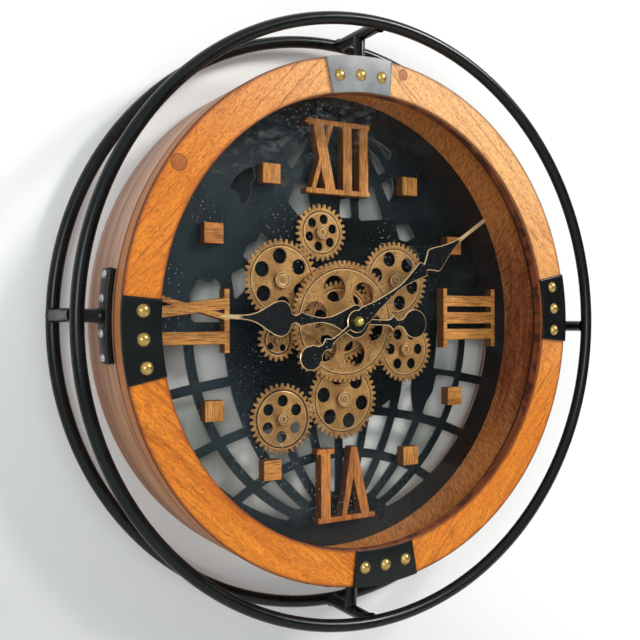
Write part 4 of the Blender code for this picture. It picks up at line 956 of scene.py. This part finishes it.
def numeral_wood(name, tone):
    """Golden brown stained hardwood with dark pores and darker sawn sides.

    The tone runs from pale (0) to reddish dark (1).
    """
    wood = Finish(name, 0.5)
    board = wood.noted("board", "Vector")
    bands = wood.grain(board, (5.0, 90.0, 60.0), 4.0, 0.6, 0.3)
    streaks = wood.grain(board, (60.0, 900.0, 500.0), 3.0, 0.6)
    pores = wood.grain(board, (500.0, 1900.0, 1200.0), 2.0, 0.5)
    pale = wood.ramp(bands, (0.3, (0.5, 0.19, 0.03)), (0.55, (0.95, 0.43, 0.1)), (0.8, (0.62, 0.25, 0.04)))
    deep = wood.ramp(bands, (0.3, (0.42, 0.115, 0.02)), (0.7, (0.86, 0.3, 0.06)))
    pore = wood.fade(pores, 0.56, 0.68)
    facing = wood.split(wood.add("ShaderNodeNewGeometry").outputs["Normal"])[1]
    colour = wood.over(
        pale,
        (tone, deep),
        (wood.fade(streaks, 0.44, 0.64, 0.0, 0.75), (0.17, 0.055, 0.016)),
        (wood.times(pore, 0.7), (0.07, 0.024, 0.008)),
        (wood.fade(wood.math("ABSOLUTE", facing), 0.2, 0.95, 0.85, 0.0), (0.085, 0.028, 0.009)),
    )
    height = wood.minus(streaks, pore)
    rough = wood.fade(streaks, 0.3, 0.7, 0.42, 0.6)
    return wood.finish(colour, rough, height, 0.0002, 0.5, Specular_IOR_Level=0.3)


# piece: grain direction in degrees, tone
sawn_pieces = {
    "numeral_xii": (90.0, 0.5), "numeral_iii": (0.0, 0.35),
    "numeral_vi": (90.0, 1.0), "numeral_ix": (0.0, 0.15),
    "hour_block_1": (90.0, 0.15), "hour_block_2": (0.0, 0.7),
    "hour_block_4": (0.0, 0.3), "hour_block_5": (90.0, 0.25),
    "hour_block_7": (0.0, 0.55), "hour_block_8": (90.0, 0.35),
    "hour_block_10": (0.0, 0.85), "hour_block_11": (90.0, 0.4),
}
for number, (node, (grain, tone)) in enumerate(sawn_pieces.items()):
    sawn = joined_faces("sawn_" + node, node)
    place = points_of(sawn)
    lean = math.radians(grain)
    along = place[:, 0] * math.cos(lean) + place[:, 2] * math.sin(lean)
    across = -place[:, 0] * math.sin(lean) + place[:, 2] * math.cos(lean)
    note(sawn, "board", np.stack([along + number * 0.91, across + number * 0.37, place[:, 1]], 1))
    piece = show("sawn_" + node, sawn, numeral_wood("wood_" + node, tone), "case", "numeral_wood", node)
    ease(piece, 0.0006)


# Hands: laser-cut sheet with black faces, bright bevelled edges and bare coppery tips, pressed on
# their arbors and held by a domed brass nut.
HOUR_FRONT = -0.0592
HOUR_BACK = -0.0576
MINUTE_FRONT = -0.0627
MINUTE_BACK = -0.0611
HOUR_ANGLE = 177.9
MINUTE_ANGLE = 33.3
HOUR_BORE = 0.0027
MINUTE_BORE = 0.0016
HAND_BEVEL = 0.001
HAND_BEVEL_DEPTH = 0.0007
# half-widths along each hand in millimetres from the axis, tip first; then hub, tail and tail disc
hour_shape = (
    [(150, 0.4), (149, 1.3), (140, 2.1), (128, 2.2), (120, 3.0), (113, 5.0), (107, 8.0),
     (101, 11.6), (94.7, 15.3), (89, 17.3), (86, 17.7), (82, 17.2), (79, 15.5), (76, 11.8),
     (73.5, 5.5), (70, 3.8), (66.7, 5.2), (63.7, 7.7), (56.5, 5.1), (50, 3.9), (43, 2.9),
     (37, 2.8), (28, 4.5), (20, 8.0), (11, 12.5), (3, 16.5)],
    17.3,
    [(-17.5, 3.1), (-40, 3.0), (-44, 4.2), (-48.2, 8.0),
     (-50.5, 5.5), (-54.5, 3.3), (-60, 4.5), (-63.4, 8.4)],
    (-76.0, 15.4),
)
minute_shape = (
    [(207.5, 0.5), (206, 2.1), (190, 2.2), (175, 2.0), (165, 2.2), (155, 3.2), (147, 5.0),
     (137, 7.9), (128, 11.5), (121, 13.5), (117.5, 13.1), (114, 10.0), (108, 5.5), (105.5, 4.0),
     (102, 9.0), (101, 8.6), (94, 7.0), (82, 4.3), (70, 2.3), (60, 2.1), (43, 3.8), (29, 5.6),
     (13, 9.4)],
    11.8,
    [(-12, 2.5), (-25, 1.7), (-35, 2.4), (-41, 6.8), (-46, 4.2), (-48, 3.9), (-52, 4.9), (-56, 9.6)],
    (-65.5, 12.4),
)


def arc_between(centre, radius, first, last, steps):
    """Points of an arc, ends left out."""
    angle = np.linspace(first, last, steps + 1)[1:-1]
    return np.stack([centre + radius * np.cos(angle), radius * np.sin(angle)], 1)


def hand_outline(shape, angle):
    """Half of a hand from tip to tail disc, mirrored and turned to its angle."""
    stations, hub, tail, (centre, radius) = shape
    half = [np.array(stations, float)]
    first = math.atan2(stations[-1][1], stations[-1][0])
    half.append(arc_between(0.0, hub, first, math.atan2(tail[0][1], tail[0][0]), 10))
    half.append(np.array(tail, float))
    half.append(arc_between(centre, radius, math.atan2(tail[-1][1], tail[-1][0] - centre), math.pi, 14))
    half = np.concatenate(half)
    whole = np.concatenate([half, [[centre - radius, 0.0]], half[::-1] * (1, -1)]) * 0.001
    lean = math.radians(angle)
    x = whole[:, 0] * math.cos(lean) - whole[:, 1] * math.sin(lean)
    z = whole[:, 0] * math.sin(lean) + whole[:, 1] * math.cos(lean)
    return np.stack([x, z], 1)


def hand_paint(name, tip):
    """Black lacquered faces; cut edges, and all beyond the radius tip, are left pale and coppery."""
    paint = Finish(name, 0.25)
    edge = paint.noted("edge")
    wear = paint.noise(paint.place(), 300.0, 4.0, 0.6)
    beyond = paint.fade(paint.reach(), tip - 0.008, tip)
    bare = paint.math("MAXIMUM", paint.fade(edge, 0.06, 0.3), beyond)
    black = paint.ramp(wear, (0.3, (0.003, 0.0035, 0.004)), (0.7, (0.005, 0.0055, 0.006)))
    copper = paint.ramp(wear, (0.3, (0.8, 0.47, 0.2)), (0.7, (1.0, 0.74, 0.42)))
    colour = paint.mix(bare, black, copper)
    rough = paint.fade(wear, 0.3, 0.7, 0.2, 0.26)
    return paint.finish(colour, rough, wear, 0.0001, 0.04, Metallic=paint.times(bare, 0.4))


hour_edges = [hand_outline(hour_shape, HOUR_ANGLE), circle(HOUR_BORE, 32)]
hour = plate("hour", hour_edges, HOUR_FRONT, HOUR_BACK, HAND_BEVEL, HAND_BEVEL_DEPTH)
show("hour", hour, hand_paint("hour_paint", 0.134), "hour_hand", "hand_paint", "hour_hand")
minute_edges = [hand_outline(minute_shape, MINUTE_ANGLE), circle(MINUTE_BORE, 32)]
minute = plate("minute", minute_edges, MINUTE_FRONT, MINUTE_BACK, HAND_BEVEL, HAND_BEVEL_DEPTH)
show("minute", minute, hand_paint("minute_paint", 0.166), "minute_hand", "hand_paint", "minute_hand")

brass = polished_brass("brass", (0.95, 0.82, 0.2), 0.28)
cap_profile = [
    (0.0, -0.0710), (0.0016, -0.0708), (0.003, -0.0701), (0.0041, -0.0688), (0.0047, -0.0670),
    (0.005, -0.0645), (0.005, -0.0634), (0.0046, -0.0631), (0.0016, -0.0631), (0.0016, -0.0665),
    (0.0, -0.0665),
]
cap = turned("hand_cap", cap_profile, steps=48, closed=False)
show("hand_cap", cap, brass, "minute_hand", "brass", "hand_nut")

collet_profile = [(HOUR_BORE, -0.0530), (0.0045, -0.0530), (0.0045, -0.0574), (HOUR_BORE, -0.0574)]
collet = turned("hour_collet", rounded(collet_profile, 0.0004, 2), steps=40)
show("hour_collet", collet, brass, "hour_hand", "brass")


# Glass and its bead: a clear flat pane that only mirrors a little, with dust specks and one wiped
# smudge on it. The bead behind it is wood painted nearly black as painted shade for the gap it sits
# in, seen only as a dark line.
def pane_glass():
    """Clear glass: mostly transparent, a weak mirror at grazing angles, speckled with pale dust.

    The dust lies on the front surface alone, in clouds, and thins out to the right.
    """
    clear = Finish("pane_glass", 0.04)
    place = clear.place()
    mirror = clear.add("ShaderNodeBsdfGlossy", Color=(0.9, 0.95, 1.0), Roughness=0.03)
    through = clear.add("ShaderNodeBsdfTransparent", Color=(0.965, 0.975, 0.975))
    share = clear.times(clear.add("ShaderNodeFresnel", IOR=1.25).outputs["Fac"], 0.4)
    pane = clear.add("ShaderNodeMixShader", Fac=share, _1=through.outputs[0], _2=mirror.outputs[0])
    x, y, z = clear.split(place)[:3]
    flat = clear.add("ShaderNodeCombineXYZ", X=x, Y=z, Z=0.0).outputs[0]
    specks = clear.add("ShaderNodeTexVoronoi", {"voronoi_dimensions": "2D"}, Vector=flat, Scale=140.0)
    specks = clear.fade(specks.outputs["Distance"], 0.03, 0.08, 1.0, 0.0)
    gate = clear.fade(clear.noise(place, 9.0, 2.0), 0.46, 0.6, 0.06, 0.75)
    gate = clear.times(gate, clear.fade(x, 0.0, 0.1, 1.0, 0.15))
    gate = clear.times(gate, clear.math("LESS_THAN", y, -0.085))
    specks = clear.times(specks, gate)
    haze = clear.fade(clear.grain(place, (14.0, 14.0, 30.0), 4.0), 0.5, 0.8, 0.0, 0.004)
    wiped = clear.grain(place, (110.0, 30.0, 170.0), 6.0, 0.8, 0.4)
    above = clear.fade(clear.minus(z, clear.times(x, 0.2)), 0.15, 0.19)
    left = clear.fade(x, -0.02, 0.06, 1.0, 0.0)
    wiped = clear.times(clear.fade(wiped, 0.48, 0.7, 0.0, 0.05), clear.times(above, left))
    haze = clear.plus(haze, wiped)
    dust = clear.plus(clear.times(specks, 0.8), haze)
    clear.finish((0.9, 0.9, 0.88), 0.9)
    both = clear.add("ShaderNodeMixShader", Fac=dust, _1=pane.outputs[0], _2=clear.shader.outputs[0])
    clear.put(clear.output.inputs["Surface"], both.outputs[0])
    return clear.material


pane_profile = [
    (0.0, -0.0863), (0.2302, -0.0863), (0.2307, -0.0858),
    (0.2307, -0.0838), (0.2302, -0.0833), (0.0, -0.0833),
]
pane = turned("pane", pane_profile, steps=192, closed=False)
show("pane", pane, pane_glass(), "case", "glass", "glass_pane")


def bead_in_painted_shade():
    """Thin wood bead painted nearly black, as painted shade for the gap behind the glass, with faint grain."""
    wood = Finish("bead_in_painted_shade", 0.55)
    grain = wood.grain(wood.place(), (40.0, 900.0, 40.0), 4.0)
    # Painted shade: nearly black, standing for the shaded gap behind the glass.
    colour = wood.ramp(grain, (0.3, (0.025, 0.012, 0.008)), (0.7, (0.07, 0.035, 0.02)))
    return wood.finish(colour, height=grain)


bead_profile = [
    (0.2277, -0.0830), (0.2307, -0.0830), (0.2307, -0.0785), (0.2290, -0.0785), (0.2277, -0.0800),
]
bead = turned("bead", rounded(bead_profile, 0.0004, 2), steps=192)
show("bead", bead, bead_in_painted_shade(), "case", "black_plastic", "glazing_bead")


# Steel frame: two round rings joined by four cross bars; a short rod from each bar carries a bent
# saddle plate that is screwed to the drum. All of it but the screws is in black satin powder coat.
RING_RADIUS = 0.2938
TUBE_RADIUS = 0.006
FRONT_RING_Y = -0.0987
REAR_RING_Y = -0.017
SADDLE_OUTER = 0.264
SADDLE_INNER = 0.2583
SADDLE_FRONT = -0.076
SADDLE_BACK = -0.053
SADDLE_SPAN = 18.0
ROD_Y = -0.058
SCREW_Y = -0.0645
SCREW_RADIUS = 0.0037


def black_steel(name="black_steel", base=0.0013, roughness=0.27, gloss=0.3, cast=1.5):
    """Powder coat over steel: satin, faintly pebbled, with small rubs; cast is its lean to blue."""
    coat = Finish(name, roughness, 0.0)
    cloud = coat.noise(coat.place(), 30.0, 5.0, 0.6)
    pebble = coat.noise(coat.place(), 850.0, 2.0)
    rubs = coat.fade(coat.noise(coat.place(), 210.0, 6.0, 0.7), 0.7, 0.8, 0.0, 0.2)
    dark = (base, base * cast, base * cast)
    colour = coat.ramp(cloud, (0.3, dark), (0.7, tuple(1.8 * c for c in dark)))
    colour = coat.mix(rubs, colour, (0.06, 0.062, 0.062))
    rough = coat.fade(cloud, 0.3, 0.7, roughness - 0.04, roughness + 0.05)
    return coat.finish(colour, rough, pebble, 0.0001, 0.08, Specular_IOR_Level=gloss)


frame_steel = black_steel()
for name, y, solid in (("hoop_front", FRONT_RING_Y, "front_ring"), ("hoop_rear", REAR_RING_Y, "rear_ring")):
    hoop = turned(name, circle(TUBE_RADIUS, 28, (RING_RADIUS, y)), steps=384, sharp=60.0)
    show(name, hoop, frame_steel, "case", "black_steel", solid)


def joined(name, *meshes):
    """Several meshes as one piece."""
    work = bmesh.new()
    for mesh in meshes:
        work.from_mesh(mesh)
    made = bpy.data.meshes.new(name)
    work.to_mesh(made)
    work.free()
    made.shade_smooth()
    made.set_sharp_from_angle(angle=math.radians(40))
    return made


def arc_plate(name, inner, outer, front, back, middle, span, round_over, steps=64):
    """A block bent round the clock's axis: a rounded cross-section of (radius, y) swept through span."""
    section = rounded([(inner, front), (outer, front), (outer, back), (inner, back)], round_over, 4)
    angle = np.radians(middle + span * np.linspace(-0.5, 0.5, steps))[:, None]
    radius, y = section.T
    grid = np.stack([radius * np.cos(angle), y + 0 * angle, radius * np.sin(angle)], -1)
    mesh = surface(name, grid, False, True, 40.0)
    work = bmesh.new()
    work.from_mesh(mesh)
    bmesh.ops.holes_fill(work, edges=work.edges)
    bmesh.ops.recalc_face_normals(work, faces=work.faces)
    work.to_mesh(mesh)
    work.free()
    return mesh


def lay_down(mesh, lean, y):
    """Turns what stands along Y to point out from the clock's axis at the angle lean, at depth y."""
    mesh.transform(Matrix.Rotation(-lean, 4, "Y") @ Matrix.Rotation(math.radians(-90), 4, "Z"))
    mesh.transform(Matrix.Translation((0, y, 0)))


def pan_screw(name, radius, angle, y):
    """A pan-head screw with a dished socket, its axis along the clock's radius."""
    profile = np.array([
        (0.0, 0.0010), (0.0007, 0.0011), (0.0014, 0.0021), (0.0024, 0.0022),
        (0.0033, 0.0016), (SCREW_RADIUS, 0.0006), (SCREW_RADIUS, -0.0002), (0.0, -0.0002),
    ])
    mesh = turned(name, profile + (0.0, radius), steps=24, closed=False)
    lay_down(mesh, math.radians(angle), y)
    return mesh


silver = polished_brass("silver_steel", (0.72, 0.72, 0.72), 0.25)
bar_front = FRONT_RING_Y + TUBE_RADIUS - 0.0012
bar_back = REAR_RING_Y - TUBE_RADIUS + 0.0012
bar_profile = [
    (0.0, bar_front), (0.0074, bar_front), (0.0066, bar_front + 0.0014), (0.006, bar_front + 0.0032),
    (0.006, bar_back - 0.0032), (0.0066, bar_back - 0.0014), (0.0074, bar_back), (0.0, bar_back),
]
rod_profile = [
    (0.0, 0.2605), (0.0078, 0.2630), (0.0068, 0.2655), (0.006, 0.2680), (0.006, 0.2935), (0.0, 0.2935),
]
for side, angle in (("top", 88.7), ("left", 178.7), ("bottom", 268.7), ("right", -1.3)):
    lean = math.radians(angle)
    middle = (RING_RADIUS * math.cos(lean), RING_RADIUS * math.sin(lean))
    bar = turned("bar_" + side, bar_profile, middle, 32, False)
    rod = turned("rod_" + side, rod_profile, steps=32, closed=False)
    lay_down(rod, lean, ROD_Y)
    saddle = arc_plate(
        "saddle_" + side, SADDLE_INNER, SADDLE_OUTER, SADDLE_FRONT, SADDLE_BACK, angle, SADDLE_SPAN, 0.0012
    )
    bracket = joined("bracket_" + side, bar, rod, saddle)
    show("bracket_" + side, bracket, frame_steel, "case", "black_steel", "standoff_" + side)
    for number, along in enumerate((-0.036, -0.015, 0.015, 0.036)):
        screw_angle = angle + math.degrees(along / SADDLE_OUTER)
        screw = pan_screw(f"screw_{side}_{number}", SADDLE_OUTER, screw_angle, SCREW_Y)
        show(f"screw_{side}_{number}", screw, silver, "case", "steel")


# Straps: sheet steel over the joints of the face boards, three nearly black and the top one grey, its
# grey a painted sheen of reflected light; each held by three domed brass nails.
STRAP_FRONT = -0.1013
STRAP_BACK = -0.0993
STRAP_SPAN = 17.0
NAIL_ORBIT = 0.2395
NAIL_STEP = 5.8
nail_profile = [
    (0.0, -0.1045), (0.0018, -0.1044), (0.0034, -0.1038), (0.0048, -0.1028), (0.0057, -0.1018),
    (0.006, -0.1012), (0.006, -0.1009), (0.0, -0.1009),
]
nail_brass = polished_brass("nail_brass", (0.6, 0.4, 0.12), 0.24)
for side, angle in (("top", 94.8), ("left", 183.4), ("bottom", 271.6), ("right", 3.2)):
    band = arc_plate(
        "band_" + side, FACE_INNER, CASE_RADIUS, STRAP_FRONT, STRAP_BACK, angle, STRAP_SPAN, 0.0005, 40
    )
    # Painted sheen: the top strap gets a lighter grey base colour that stands for the light it reflects.
    base, cast = (0.17, 1.03) if side == "top" else (0.003, 1.3)
    strap_steel = black_steel("strap_steel_" + side, base, 0.28, 0.25, cast)
    show("band_" + side, band, strap_steel, "case", "black_steel", "strap_" + side)
    for number in (-1, 0, 1):
        lean = math.radians(angle + number * NAIL_STEP)
        middle = (NAIL_ORBIT * math.cos(lean), NAIL_ORBIT * math.sin(lean))
        nail = turned(f"nail_{side}_{number}", nail_profile, middle, 32, False)
        show(f"nail_{side}_{number + 2}", nail, nail_brass, "case", "brass")


# Centre and back: movement, arbors, motor, battery box, lead, knob and hanger keep the solids'
# shapes, most with eased edges, each in its own finish.
def moulded(name, colour, roughness=0.45, variation=1.6):
    """Moulded plastic: fine grain texture and faint flow marks."""
    plastic = Finish(name, roughness)
    flow = plastic.noise(plastic.place(), 40.0, 4.0)
    grain = plastic.noise(plastic.place(), 1500.0, 2.0)
    pale = tuple(min(1.0, variation * c) for c in colour)
    return plastic.finish(plastic.ramp(flow, (0.3, colour), (0.7, pale)), roughness, grain, 0.0001, 0.3)


def cell_wrap(name):
    """A battery's sleeve: two plain greens in bands along it, a little rubbed."""
    wrap = Finish(name, 0.3, 0.3)
    band = wrap.fade(wrap.grain(wrap.place(), (60.0, 0.0, 0.0), 0.0), 0.49, 0.51)
    colour = wrap.mix(band, (0.05, 0.2, 0.1), (0.12, 0.32, 0.17))
    wear = wrap.noise(wrap.place(), 500.0, 3.0)
    return wrap.finish(wrap.mix(wrap.fade(wear, 0.6, 0.8, 0.0, 0.3), colour, (0.5, 0.5, 0.45)), 0.3)


black_case = moulded("black_case", (0.012, 0.012, 0.013))
white_case = moulded("white_case", (0.62, 0.62, 0.58), 0.4, 1.15)
lead_skin = moulded("lead_skin", (0.015, 0.015, 0.016), 0.35)
bright_steel = polished_brass("bright_steel", (0.6, 0.6, 0.6), 0.3)
for node, finish, body, slot, width in (
    ("movement_case", black_case, "case", "black_plastic", 0.0006),
    ("movement_battery", cell_wrap("movement_cell"), "case", "cell_label", 0.0004),
    ("movement_nut", polished_brass("nut_brass", (0.5, 0.38, 0.24), 0.3), "case", "brass", 0.0004),
    ("centre_bushing", brass, "case", "brass", 0.0),
    ("hour_arbor", brass, "hour_hand", "brass", 0.0),
    ("minute_arbor", brass, "minute_hand", "brass", 0.0),
    ("time_set_knob", white_case, "setting_knob", "white_plastic", 0.0003),
    ("gear_motor", bright_steel, "case", "steel", 0.0006),
    ("battery_box", black_case, "case", "black_plastic", 0.0006),
    ("gear_battery", cell_wrap("gear_cell"), "case", "cell_label", 0.0004),
    ("slide_switch", white_case, "switch", "white_plastic", 0.0003),
    ("motor_lead", lead_skin, "case", "lead_plastic", 0.0),
    ("hanger_plate", bright_steel, "case", "steel", 0.0002),
):
    part = show("shown_" + node, joined_faces("shown_" + node, node), finish, body, slot, node)
    if width > 0.0:
        ease(part, width)
    else:
        part.data.shade_smooth()
        part.data.set_sharp_from_angle(angle=math.radians(35))
